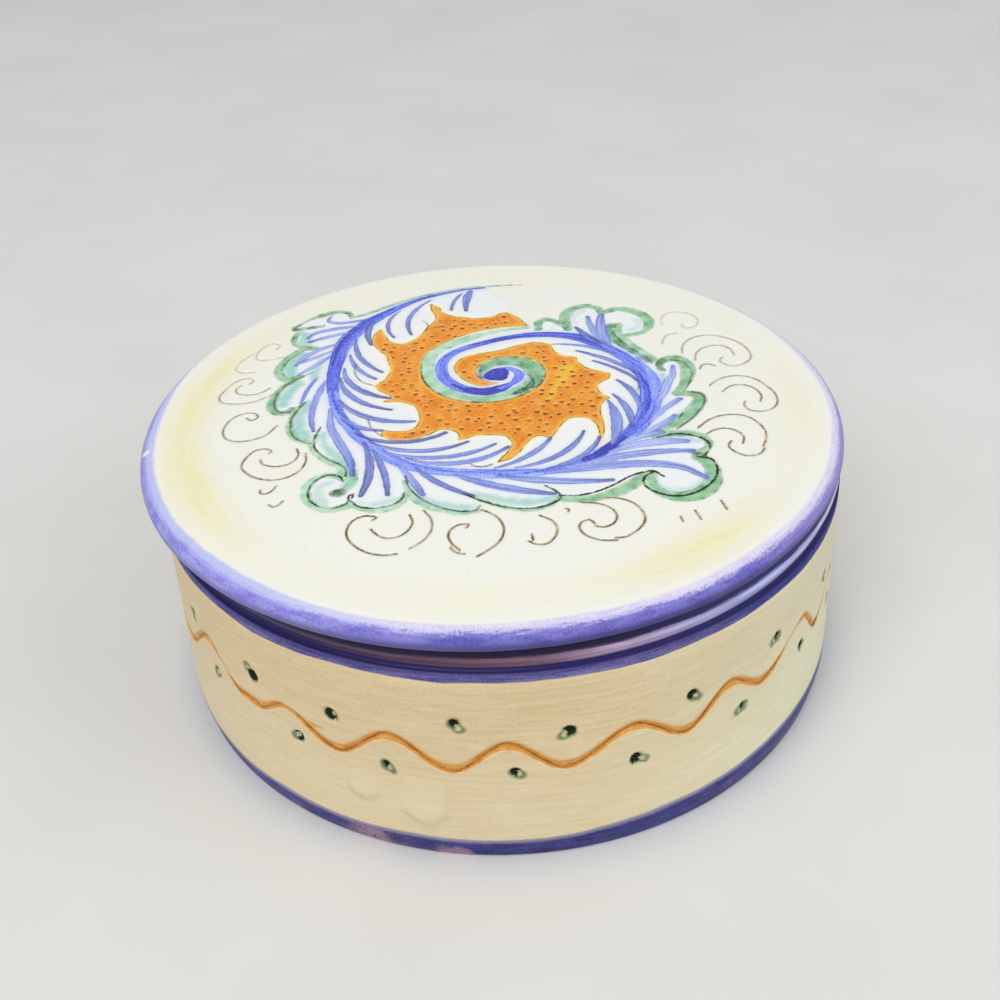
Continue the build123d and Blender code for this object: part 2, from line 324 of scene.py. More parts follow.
OTHER_GREENS = [
    (0.8, [1.3, 1.2, 1.0], [(-43.4, 38.9), (-41, 39.3), (-37, 40.1)]),
    (0.32, [1.4, 2.4, 2.2], [(34.8, 17.4), (31.8, 22), (29.6, 26.4), (28.8, 30), (29.4, 33)]),
    (0.7, [1.8, 2.4, 2.4], [(34.4, 16), (30.4, 22), (27.6, 27.4), (27, 31), (28, 33)]),
    (0.74, [1.5, 2.0, 1.6], [(36.5, 11.8), (36.2, 14), (37.4, 15.9)]),
    (0.76, [0.5, 0.9, 0.5], [(32, -12.2), (35.4, -9.4), (38.4, -5.8)]),
    (0.95, [1.2, 1.6, 1.2], [(-42, 2.6), (-41, 3), (-40.4, 3.8)]),
    (0.9, [0.8, 1.0, 0.8], [(37.4, -20), (38.8, -20.8), (40.2, -21)]),
    # the spiral arm and the ring round its eye
    (0.12, [1.4, 2.0, 2.4], [(9.3, 34.2), (3.9, 33.4), (-1.4, 31.7), (-6, 29.3)]),
    (0.14, [2.5, 2.8, 3.0, 3.2, 3.1, 2.9],
     [(-6, 29.3), (-10, 26.4), (-12.3, 23.2), (-12.9, 19.8), (-12.7, 16.2), (-12, 12.9), (-10.6, 10),
      (-8.1, 6.9)]),
    (0.3, [2.9, 2.9, 3.2, 3.3, 3.6],
     [(-8.1, 6.9), (-4.8, 4.7), (-0.6, 3.9), (3.2, 4.5), (6.8, 6.8), (9.2, 9.3)]),
    (0.56, [3.7, 4.4, 4.1, 3.7, 3.3, 2.6, 1.4],
     [(9.2, 9.3), (10, 12.4), (9.3, 15.9), (7.1, 18.4), (3.9, 19.2), (1, 18.4), (-1, 16.2), (-1.6, 13.8)]),
    (0.95, [0.8, 1.5, 0.8], [(-1.5, 16), (-1.8, 14), (-0.8, 12.2)]),
    (0.92, [0.6, 1.6, 1.9, 0.8], [(8.4, 13), (9.3, 9.9), (8, 7.2), (5, 5.1)]),
    (0.95, [0.35, 0.35, 0.4, 0.4, 0.35],
     [(-14.1, 20), (-14.2, 16.2), (-13.4, 12), (-11.6, 8.6), (-8.6, 5.2), (-4.8, 3), (0, 2.3), (4, 3),
      (7.8, 5.4), (10.6, 8.6), (11.9, 12.4)]),
    (0.25, [1.2, 2.0, 1.4], [(-26.6, -20.6), (-26.2, -24), (-27.6, -26.8)]),
    (1.0, [2.4, 2.9, 2.4], [(-29.2, -27.8), (-28.7, -27.8), (-28.3, -27.6)]),
]
TEAL_WASHES = [
    (0.85, [1.8, 2.6, 2.2], [(-37, 6), (-38.6, 0), (-38, -5), (-36.4, -7.6)]),
    (0.8, [1.4, 2.0, 1.6], [(-36, 24), (-36.8, 19), (-37, 15.4)]),
    (0.9, [2.2, 3.0, 2.2], [(-40.8, 36.4), (-40.6, 34), (-39.6, 32.2)]),
    (0.95, [2.2, 2.8, 2.4], [(-40.6, 27), (-42.4, 22.4), (-42.2, 18.4)]),
    (0.9, [2.2, 2.8, 2.4], [(-40, 14), (-42, 9.6), (-42.6, 5.6)]),
    (0.8, [1.2, 2.2, 2.0], [(-33.2, -6.4), (-32.6, -11), (-30, -15), (-27.6, -18.6)]),
    (0.8, [1.4, 1.8, 1.8], [(-28.6, -14), (-27, -18.6), (-26.4, -22), (-27.4, -25.4)]),
    (0.5, [1.4, 2.2, 1.6], [(-30.6, -24.2), (-32.6, -27), (-31, -30.4)]),
    (0.5, [1.2, 1.8, 1.2], [(-24.6, -31.4), (-21, -32), (-18, -30.6)]),
    (0.7, [1.6, 2.2, 1.8], [(-14.6, -28), (-12.6, -31.4), (-8, -34), (-4.4, -34.4)]),
    (0.75, [1.8, 2.4, 1.8], [(-3, -30.6), (2, -33), (8, -33.8), (11.2, -32.6)]),
    (0.5, [1.4, 1.8, 1.6], [(29.6, -28), (30, -30.6), (32.4, -32.6), (36, -32.4), (38.6, -30.4)]),
    (0.6, [1.4, 2.0, 1.4], [(31, -14.6), (35.6, -14.4), (39.4, -16.4)]),
    (0.6, [1.4, 1.8, 1.4], [(33, -10.6), (37, -7.6), (40, -4)]),
    (0.9, [1.2, 1.7, 1.5], [(36.3, 9.8), (36.3, 7.8), (36.6, 6)]),
    (0.4, [1.4, 1.8, 1.4], [(31, 30.6), (33.6, 31.6), (34, 35)]),
    (0.4, [1.2, 1.6, 1.2], [(20, 35), (20.4, 39), (22.6, 41)]),
]
YELLOW_STREAKS = [
    (1.0, [2.2, 4.2, 3.0], [(12.6, 3.2), (14.6, 8.4), (17.6, 16)]),
    (0.6, [1.0, 1.6, 1.0], [(10, 19.6), (11, 23), (10.6, 25.6)]),
    (0.6, [0.8, 1.5, 1.2], [(-2.6, 19.6), (1, 21.9), (5.6, 22.6), (10, 20.8), (12.8, 16.6)]),
    (0.7, [1.6, 2.4, 1.4], [(-12.4, 48), (-11.6, 44.6), (-11, 42)]),
    (0.6, [0.8, 1.2, 0.8], [(20.6, -8), (21.6, -11), (21, -14)]),
    (0.4, [0.8, 1.2, 0.8], [(8.2, 36.4), (4, 36), (-2, 34.6)]),
]
# The orange ground's edge, scallop by scallop: each is a smooth curve from one sharp corner to the next.
ORANGE_EDGE = [
    [(-12.6, 48.2), (-10.6, 46), (-10.2, 44), (-8.6, 42.3), (-5.4, 40.7), (-1.6, 39.7), (1.6, 40.3),
     (4.2, 42.2)],
    [(4.2, 42.2), (6, 40.7), (7.4, 38.8), (9.3, 35.2)],
    [(9.3, 35.2), (3.2, 34.9), (-2.4, 33.5), (-6.6, 31.1), (-9.9, 28.6), (-12.6, 25.4), (-14.1, 21),
     (-14.4, 16.5), (-13.4, 11.6), (-11.4, 7.7), (-8, 4.4), (-3.6, 2.6), (1, 2.4), (5, 3.4), (8.8, 6),
     (11.4, 9.6), (12.1, 13.3), (11.4, 17), (9.3, 19.8), (6.3, 21.1), (3, 21.2), (0, 20), (-2, 17.9),
     (-2.7, 15.3), (-2.2, 12.8), (-0.6, 10.9), (1.8, 10)],
    [(1.8, 10), (-1.3, 9), (-4, 10.8), (-6.4, 14.4), (-7.1, 17.4), (-6.3, 20.2), (-4.2, 22.3), (-1, 23.2),
     (2.6, 23.9), (6.8, 25.9), (10.4, 26.8), (14, 25.5)],
    [(14, 25.5), (14.2, 22.8), (15.8, 20.4), (18.9, 19.1)],
    [(18.9, 19.1), (19.3, 16.8), (21.2, 13.9), (25.4, 11.5)],
    [(25.4, 11.5), (25, 9.6), (23, 8), (22.3, 5.6), (22.9, 3.4), (24.3, 1.6)],
    [(24.3, 1.6), (22.7, -0.2), (22, -3.6), (22.2, -8), (22, -11.4), (20.9, -14.8)],
    [(20.9, -14.8), (21.3, -11), (20.6, -7.4), (18.6, -5.5), (16.1, -5.4), (14.1, -7.4), (12.7, -10.4),
     (11.5, -12.5)],
    [(11.5, -12.5), (9.6, -11.4), (7.5, -12.7), (5.6, -16.2), (3.6, -19), (1.1, -20.1)],
    [(1.1, -20.1), (3, -17), (4.1, -14), (3, -11), (0, -10.2), (-3.4, -10.3), (-6.2, -11.7)],
    [(-6.2, -11.7), (-6.3, -9.2), (-8, -7.5), (-10.4, -7.5), (-12.2, -8.9)],
    [(-12.2, -8.9), (-15.4, -10.5), (-18.8, -10.4), (-21.2, -8.7), (-21.4, -6.5)],
    [(-21.4, -6.5), (-18.4, -7.4), (-15.4, -6.8), (-14.1, -4), (-14.2, -0.6), (-15.4, 2.5), (-18.2, 4.3),
     (-21.6, 4.6)],
    [(-21.6, 4.6), (-20.2, 6.6), (-22.4, 9), (-23.8, 11.4)],
    [(-23.8, 11.4), (-21.7, 13.9), (-20.7, 17.8), (-21.2, 21), (-21.8, 24), (-23.6, 27.2), (-25.2, 30.6),
     (-25.2, 33.6), (-23.8, 36.8)],
    [(-23.8, 36.8), (-22.6, 33.4), (-21.4, 30.7), (-19, 29.2), (-16.6, 30.4), (-14.4, 33.4), (-12.9, 37.2)],
    [(-12.9, 37.2), (-11.5, 39.6), (-11.3, 42.2), (-12.2, 45.2), (-12.6, 48.2)],
]

# Lines scratched into the leaf's border: how dark each is, and the points it runs through.
LEAF_SCRATCHES = [
    (0.45, [(-40.2, 29), (-42.3, 26.1), (-44.1, 22.5), (-44.3, 19.6), (-43.2, 17.3), (-41.6, 16.4)]),
    (0.65, [(-37.5, 18.9), (-42.1, 14.6), (-44, 10.6), (-44.4, 6.2), (-43.6, 3.5), (-42.3, 2.4),
            (-40.7, 3.4)]),
    (0.8, [(-37.9, 6.3), (-39.5, 2.6), (-40.2, -0.9), (-39.7, -5.5), (-38.1, -8.3), (-35.6, -9.9)]),
    (0.9, [(-33.9, -3.9), (-34.8, -8), (-34.4, -11.8), (-31.9, -15.6), (-29.3, -17.9), (-27.9, -19.8),
           (-27.7, -22)]),
    (1.0, [(-28.1, -23.9), (-28.9, -22.2), (-31, -21.5), (-33.4, -23.3), (-34.4, -26.5), (-33.9, -29.4),
           (-32, -31.7), (-29.2, -32.5), (-26.8, -31), (-26.7, -28.9), (-25.9, -28.2), (-26, -29.4)]),
    (1.0, [(-26.3, -30.4), (-24.8, -32.3), (-21.6, -33.2), (-18.4, -32.3), (-16.8, -30.6), (-16.5, -28.8)]),
    (0.9, [(-16.4, -23.2), (-15.7, -26.9), (-13.6, -30.6), (-10.4, -33.6), (-6.4, -35.5), (-3.4, -35.5),
           (-2.5, -34.1)]),
    (1.1, [(-5.4, -30.2), (-2, -32.8), (2.6, -35.2), (6.8, -35.8), (10.2, -34.8), (12.2, -32.9),
           (11.6, -31), (9.5, -28.8)]),
    (1.5, [(12, -32.2), (15.4, -32.5), (18.6, -31.7), (22, -29.8), (25.4, -27.2), (27.9, -26.1),
           (29.8, -25.8), (31.6, -27.8)]),
    (1.5, [(30, -26), (28, -27.8), (27.8, -30.4), (29.6, -32.8), (32.6, -34.3), (35.6, -34), (38.4, -32.3),
           (40.8, -29.4), (41.8, -26), (41.2, -22.9), (38.9, -21.8)]),
    (1.3, [(40.2, -21.3), (41.6, -18.9), (41.5, -16.8), (39.6, -14.6), (35.8, -13.4), (32.1, -14.3)]),
    (0.8, [(36.3, -11.7), (39.4, -8.4), (41.9, -4.8), (43.4, -0.9), (43, 1.3), (40.6, 2.5)]),
    (0.7, [(39.6, 2.4), (41.4, 6.2), (42.4, 9.8), (42.2, 12.6), (40.6, 15.4), (38.6, 16)]),
    (0.3, [(34.8, 15), (33.4, 18.6), (30.6, 23), (28.4, 27.4), (27.7, 30.4)]),
    (0.6, [(-28.3, 21.5), (-28.6, 18.5), (-27, 14), (-24, 11.5)]),
    (0.6, [(-24.5, -2), (-23.8, -5), (-21.5, -8.5)]),
    (0.7, [(-4, -20.5), (-2, -21.4), (0, -20.6)]),
    (0.5, [(-14.5, 40.5), (-13.2, 38), (-13.5, 35.5)]),
    (0.5, [(30.2, 9), (30.9, 6.6), (30.4, 4)]),
]
# The small scratched curls round the leaf
CURLS = [
    (0.35, [(-46.6, 30.1), (-45.9, 31.6), (-47.3, 32.8), (-49.3, 31.8), (-50.7, 27.8), (-50.2, 25.7),
            (-47.8, 25.4), (-44.6, 26.3)]),
    (0.3, [(-51.5, 28.5), (-53.8, 25), (-54.5, 22), (-53.2, 20.3), (-50, 20.3)]),
    (0.6, [(-50.7, 15.1), (-49.9, 16.3), (-51.2, 17.6), (-53.7, 16.3), (-55.3, 13.4), (-56.3, 9.7),
           (-55.3, 7.8), (-52.2, 7), (-48.9, 7.5), (-46.2, 9.3), (-44.9, 10.6)]),
    (0.6, [(-52.3, 14.7), (-53.2, 12.9), (-52.6, 11.3), (-50.1, 10.5), (-47.8, 11.1), (-46, 13)]),
    (0.75, [(-49.5, 1.1), (-48.4, 0.1), (-47.2, 0.9), (-47.6, 2.4), (-49.1, 3.1), (-51.6, 2), (-53.2, -0.8),
            (-53.5, -4.1), (-52.5, -6.6), (-50.2, -7.8), (-47.4, -7.5), (-44.8, -6), (-42.8, -2.4)]),
    (0.9, [(-43.3, -12.8), (-42.9, -11.9), (-44.3, -11), (-46.2, -11.6), (-47.6, -14.1), (-48.1, -17),
           (-47, -19.2), (-44.4, -21.4), (-41.5, -22.2), (-38.6, -21.4), (-36.5, -19), (-35.8, -16),
           (-36.1, -13.3)]),
    (0.9, [(-44.8, -14.7), (-44, -16.5), (-42, -17.5), (-39.5, -17.2), (-37.8, -15.3), (-37.5, -13.3),
           (-38, -11.6)]),
    (0.9, [(-43.5, -25.3), (-43.2, -26.5), (-42.2, -26.7), (-41, -25.4), (-40.6, -24.1)]),
    (0.9, [(-41.3, -30.3), (-40.5, -31.1), (-39.5, -30.6), (-38.8, -29.3)]),
    (1.0, [(-22, -36.9), (-21.2, -36.2), (-22.9, -35.5), (-24.9, -36.2), (-26.2, -38.4), (-26.2, -41.6),
           (-24.5, -44.6), (-22, -46.7), (-19.4, -47.5), (-17.2, -47.3)]),
    (0.8, [(-15, -46), (-12.7, -43.8), (-11.3, -40.8), (-11.4, -37.5), (-12.8, -34.6)]),
    (1.0, [(-22.1, -39.6), (-21, -41.3), (-19.5, -42.5), (-17.6, -42.5), (-15.7, -41), (-14.7, -38.3),
           (-15.3, -35.8)]),
    (1.0, [(-5.1, -40.7), (-4.7, -39.8), (-6.2, -39.6), (-7.8, -40.9), (-8.3, -42.9), (-7.6, -45.3),
           (-6.4, -46.9)]),
    (1.0, [(-7.9, -46.3), (-7, -47.7), (-5.5, -48.3)]),
    (1.0, [(-3.3, -49.2), (-1.2, -47.4), (0.8, -44.9), (1.5, -41.7), (0.7, -38.4), (-1, -36.4),
           (-2.4, -35.4)]),
    (1.0, [(6.3, -43.5), (6.5, -45.4)]),
    (1.0, [(5.7, -45.6), (6.8, -46.5), (8.6, -46.7), (10.1, -45.2), (10.9, -42.5), (10.2, -40), (8, -38.1)]),
    (0.9, [(12.7, -36.3), (13.3, -36.8), (13.2, -37.4)]),
    (1.0, [(17.5, -41.3), (16.8, -40.2), (15.5, -40.6), (14.8, -42.1), (15.3, -44.1), (16.9, -45.7),
           (18.7, -46.5), (20.9, -46.7)]),
    (1.0, [(20.7, -46), (22, -45.9)]),
    (1.0, [(22.9, -45.7), (25.1, -43.7), (26.5, -41.2), (26.3, -38.2), (25, -35.7), (22.9, -34.2),
           (20.1, -33.5)]),
    (1.0, [(17.8, -42.2), (19.3, -42.6), (21, -41.5), (21.7, -39.4), (20.9, -37), (18.8, -35.4),
           (15.9, -34.8)]),
    (0.9, [(32.8, -40.6), (33.1, -42.2)]),
    (0.9, [(35.6, -39), (36.3, -41.8)]),
    (0.9, [(40.7, -36.3), (41.3, -39.2)]),
    (0.3, [(39.2, 32), (39.3, 34.9), (40.5, 37.2), (42.3, 38), (44.8, 37.6), (46.7, 35.7), (47.3, 33.3),
           (46.4, 30.8), (44.4, 30.1), (43.4, 31), (43.7, 32.2)]),
    (0.4, [(38, 23.3), (38.6, 25.5), (39.7, 27.4), (41.9, 28)]),
    (0.6, [(41.7, 18.7), (42.3, 22), (44, 24.7), (46.5, 26.1), (49, 26.2), (51.6, 25), (54, 22.7),
           (55.5, 19.8), (56, 17), (55.6, 14.8), (54, 13), (51.8, 12.1), (49.9, 12.9), (49.1, 14.7),
           (49.9, 16.1)]),
    (0.6, [(44, 15.3), (44.6, 18.2), (46.1, 20.3), (48.2, 21.4), (50.5, 21.2), (52.1, 19.5), (52.5, 16.8)]),
    (0.75, [(44.4, 11.4), (45, 13), (46.3, 13.5), (47.7, 12.6)]),
    (0.75, [(45.3, 4.5), (47.3, 6.6), (49.8, 7.8), (52.3, 7.8), (54.8, 6.3), (56.7, 3.2), (57.8, -0.1),
            (57.7, -3), (56.6, -5.4), (54.4, -6.6), (52, -6.2), (50.9, -4.3), (51.3, -2.4)]),
    (0.75, [(47.5, 1.8), (49, 3.5), (51.1, 4.2), (53.2, 3.4), (54.5, 1.5), (54.9, -0.9), (54.3, -2.8)]),
    (0.9, [(40.5, -11.5), (42.8, -9), (45.3, -7.6), (48.2, -7.3), (50.7, -8.4), (52.4, -11.1), (53.1, -14.2),
           (52.7, -16.8), (51.7, -19.3)]),
    (0.9, [(51.8, -20.1), (50.5, -21.9), (48.4, -22.4), (46.4, -21.2), (45.2, -18.8), (46, -16.8)]),
    (0.9, [(41.7, -14), (43.6, -12.6), (45.9, -12.3), (47.8, -13.6), (48.6, -15.9), (48, -18)]),
]

# The yellow wash near the lid's edge: (direction in degrees, spread in degrees, strength)
WASH_RADIUS = 61.2
WASH_WIDTH = 4.6
WASH_EVERYWHERE = 0.05
WASH_PATCHES = [
    (172, 26, 0.75), (206, 16, 0.6), (-54, 15, 0.74), (-100, 40, 0.2), (-8, 22, 0.25), (95, 60, 0.12),
]

# Places on the texture map, whose sides are 1
LID_CHART_MIDDLE = (0.387, 0.613)
LID_CHART_SCALE = 0.0049
UNDERSIDE_CHART_MIDDLE = (0.815, 0.185)
UNDERSIDE_CHART_RADIUS = 0.18
WALL_CHART_MIDDLE = 0.5
WALL_CHART_PER_RADIAN = 0.3
WALL_CHART_LOW_NEAR = 0.01
WALL_CHART_LOW_FAR = 0.25
WALL_CHART_SCALE = 0.0044
FOOT_CHART_MIDDLE = (0.25, 0.75)
FOOT_CHART_SCALE = 0.0034
INSIDE_CHART_MIDDLE = (0.75, 0.75)
INSIDE_CHART_RADIUS = 0.24


# Curves and distances

REACH = 2.0                   # marks are measured this far outside, in millimetres
RUN = 16                      # points of a line that are measured at a time
STROKE_APART = 37.0           # keeps the brush streaks of one stroke unlike the next one's
TIP_POWER = 4                 # how late along a stroke its tip starts to deepen


def blend_points(a, b, start, end, at):
    return a + (b - a) * (at - start) / (end - start)


def arc_through(start, middle, end, steps):
    """Points on the circular arc through three points."""
    (ax, ay), (bx, by), (cx, cy) = start, middle, end
    twice = 2 * (ax * (by - cy) + bx * (cy - ay) + cx * (ay - by))
    a2, b2, c2 = ax * ax + ay * ay, bx * bx + by * by, cx * cx + cy * cy
    x = (a2 * (by - cy) + b2 * (cy - ay) + c2 * (ay - by)) / twice
    y = (a2 * (cx - bx) + b2 * (ax - cx) + c2 * (bx - ax)) / twice
    radius = math.hypot(ax - x, ay - y)
    angles = np.unwrap([math.atan2(py - y, px - x) for px, py in (start, middle, end)])
    turned = np.linspace(angles[0], angles[2], steps)
    return [(x + radius * math.cos(t), y + radius * math.sin(t)) for t in turned]


def smooth_line(points):
    """Closely spaced points on a smooth curve through the given ones. Through three it is a circular arc."""
    if len(points) == 3:
        length = math.dist(*points[:2]) + math.dist(*points[1:])
        return np.array(arc_through(*points, max(3, round(length / LINE_STEP))))
    given = np.array(points, float)
    p = np.vstack([2 * given[0] - given[1], given, 2 * given[-1] - given[-2]])
    gaps = np.linalg.norm(np.diff(p, axis=0), axis=1)
    knots = np.concatenate([[0], np.cumsum(np.sqrt(gaps))])
    pieces = []
    for i in range(1, len(p) - 2):
        count = max(2, round(gaps[i] / LINE_STEP))
        at = np.linspace(knots[i], knots[i + 1], count, endpoint=False)[:, None]
        first = blend_points(p[i - 1], p[i], knots[i - 1], knots[i], at)
        second = blend_points(p[i], p[i + 1], knots[i], knots[i + 1], at)
        third = blend_points(p[i + 1], p[i + 2], knots[i + 1], knots[i + 2], at)
        left = blend_points(first, second, knots[i - 1], knots[i + 1], at)
        right = blend_points(second, third, knots[i], knots[i + 2], at)
        pieces.append(blend_points(left, right, knots[i], knots[i + 1], at))
    pieces.append(given[-1:])
    return np.vstack(pieces)


def lengths_along(line):
    return np.concatenate([[0], np.cumsum(np.linalg.norm(np.diff(line, axis=0), axis=1))])


def rows_along(line, offsets):
    """Copies of a line, each moved sideways by one of the offsets."""
    run = np.gradient(line, axis=0)
    side = np.stack([-run[:, 1], run[:, 0]], axis=1) / np.linalg.norm(run, axis=1)[:, None]
    return np.vstack([line + side * offset for offset in offsets])


def measured(xy, line, half, length):
    """For the points near a short run of a stroke: their numbers, how deep each lies inside the stroke, and
    its places along and across it."""
    margin = half.max() + REACH
    index = np.flatnonzero(((xy > line.min(0) - margin) & (xy < line.max(0) + margin)).all(1))
    step = np.diff(line, axis=0)
    span = np.linalg.norm(step, axis=1)
    offset = xy[index][:, None] - line[:-1]
    share = np.clip((offset * step).sum(2) / span**2, 0, 1)
    gap = np.linalg.norm(offset - share[..., None] * step, axis=2)
    depth = half[:-1] + share * np.diff(half) - gap
    best = depth.argmax(1)
    every = np.arange(len(index))
    run = step[best]
    aside = offset[every, best]
    across = (run[:, 0] * aside[:, 1] - run[:, 1] * aside[:, 0]) / span[best]
    return index, depth[every, best], length[best] + share[every, best] * span[best], across


class Layer:
    """One layer of paint or tooling: how deep each point lies inside it, in millimetres and negative outside.
    The stroke that lies on top there gives its own depth, its tone, and the place along and across it."""

    def __init__(self, xy):
        self.xy = xy
        self.depth = np.full(len(xy), -REACH)
        self.own = np.full(len(xy), -REACH)
        self.tone = np.zeros(len(xy))
        self.along = np.zeros(len(xy))
        self.across = np.zeros(len(xy))

    def stroke(self, line, widths, tone=1.0, tip=0.0, offset=0.0):
        """Lays one stroke over the earlier ones. Its tone rises by tip towards its end."""
        length = lengths_along(line)
        half = np.interp(length / length[-1], np.linspace(0, 1, len(widths)), widths) / 2
        own = np.full(len(self.xy), -REACH)
        along = np.zeros(len(self.xy))
        across = np.zeros(len(self.xy))
        for first in range(0, len(line) - 1, RUN):
            part = slice(first, min(first + RUN, len(line) - 1) + 1)
            index, depth, place, side = measured(self.xy, line[part], half[part], length[part])
            deeper = depth > own[index]
            index = index[deeper]
            own[index] = depth[deeper]
            along[index] = place[deeper]
            across[index] = side[deeper]
        top = (own > 0) | (own > self.depth)
        self.depth = np.maximum(self.depth, own)
        self.own[top] = own[top]
        self.tone[top] = tone + tip * (along[top] / length[-1]) ** TIP_POWER
        self.along[top] = along[top] + offset
        self.across[top] = across[top]
        return self

    def strokes(self, described, tip=0.0, start=1.0):
        """Lays strokes one after another, each starting at that share of its first width."""
        for number, (tone, widths, points) in enumerate(described):
            self.stroke(smooth_line(points), [start * widths[0], *widths], tone, tip, number * STROKE_APART)
        return self

    def scratches(self, described, width):
        for tone, points in described:
            self.stroke(smooth_line(points), [width], tone)
        return self

    def region(self, outline):
        """Inside of a closed outline."""
        closed = np.vstack([outline, outline[:1]])
        self.stroke(closed, [0.0])
        inside = np.zeros(len(self.xy), bool)
        for (x0, y0), (x1, y1) in zip(closed[:-1], closed[1:]):
            crossing = (self.xy[:, 1] < y0) != (self.xy[:, 1] < y1)
            at = x0 + (self.xy[crossing, 1] - y0) * (x1 - x0) / (y1 - y0)
            inside[crossing] ^= self.xy[crossing, 0] < at
        self.depth = np.where(inside, -self.depth, self.depth)
        return self

    def spots(self, centres, radii):
        for centre, radius in zip(centres, np.broadcast_to(radii, len(centres))):
            self.depth = np.maximum(self.depth, radius - np.linalg.norm(self.xy - centre, axis=1))
        return self


# Mesh building

ROW_RISE = math.sqrt(3) / 2
FIRST_RING = 6                # points in the smallest ring round a punched dot
RING_GAIN = 2                 # and how many more in each next one
WHOLE_HULL = 0                # asks for triangles over the whole hull of the points
SAME_POINT = 1e-7
ON_AXIS = 1e-6


def lattice(low, high, step):
    """A lattice of triangles over a rectangle, and which of its points make one of twice that step."""
    columns = np.arange(int((high[0] - low[0]) / step) + 1)
    rows = np.arange(int((high[1] - low[1]) / (step * ROW_RISE)) + 1)
    column, row = np.meshgrid(columns, rows)
    x = low[0] + (column + row % 2 / 2) * step
    y = low[1] + row * step * ROW_RISE
    coarse = (row % 2 == 0) & ((column + row // 2) % 2 == 0)
    return np.stack([x.ravel(), y.ravel()], axis=1), coarse.ravel()


def thinned(points, gap):
    """The points without those that share a cell of that size with an earlier one."""
    cells = np.round(points / gap).astype(int)
    first = np.unique(cells, axis=0, return_index=True)[1]
    return points[np.sort(first)]


def rings(centres, radii):
    """Each centre of a punched dot, and small rings of points round it."""
    made = [np.array(centres, float)]
    for number, radius in enumerate(radii):
        count = FIRST_RING + RING_GAIN * number
        turns = np.arange(count) * 2 * math.pi / count
        ring = radius * np.stack([np.cos(turns), np.sin(turns)], axis=1)
        made.append((np.array(centres)[:, None] + ring).reshape(-1, 2))
    return np.vstack(made)


def triangulated(points, border_count):
    """Points and triangles over flat points, with the first border_count points kept in place."""
    flat = [Vector(p) for p in points]
    found, _, triangles, sources, _, _ = delaunay_2d_cdt(flat, [], [], WHOLE_HULL, SAME_POINT)
    place = {source: at for at, group in enumerate(sources) for source in group}
    order = [place[i] for i in range(border_count)]
    taken = set(order)
    order += [i for i in range(len(found)) if i not in taken]
    renamed = np.empty(len(found), int)
    renamed[order] = np.arange(len(found))
    return np.array([found[i] for i in order]), renamed[np.array(triangles)]


def ring_angles():
    """Directions once round the axis, measured from the near side to the right."""
    return np.arange(SEGMENTS) * 2 * math.pi / SEGMENTS - math.pi


def ring_points(radius, height):
    angle = ring_angles()
    return np.stack([radius * np.sin(angle), -radius * np.cos(angle), np.full(SEGMENTS, height)], axis=1)


def rounded(corners):
    """A section line through (radius, height, rounding) corners."""
    line = [corners[0][:2]]
    for before, corner, after in zip(corners, corners[1:], corners[2:]):
        here = Vector(corner[:2])
        back = (Vector(before[:2]) - here).normalized()
        ahead = (Vector(after[:2]) - here).normalized()
        half_angle = back.angle(ahead) / 2
        inward = (back + ahead).normalized()
        start = here + back * corner[2] / math.tan(half_angle)
        middle = here + inward * (corner[2] / math.sin(half_angle) - corner[2])
        end = here + ahead * corner[2] / math.tan(half_angle)
        line += arc_through(start, middle, end, ARC_STEPS)
    line.append(corners[-1][:2])
    return line


def split_long(line, longest):
    """The same section line, with long straight runs cut into shorter ones."""
    cut = [line[0]]
    for end in line[1:]:
        start = cut[-1]
        parts = max(1, math.ceil(math.dist(start, end) / longest))
        cut += [(start[0] + (end[0] - start[0]) * k / parts, start[1] + (end[1] - start[1]) * k / parts)
                for k in range(1, parts + 1)]
    return cut


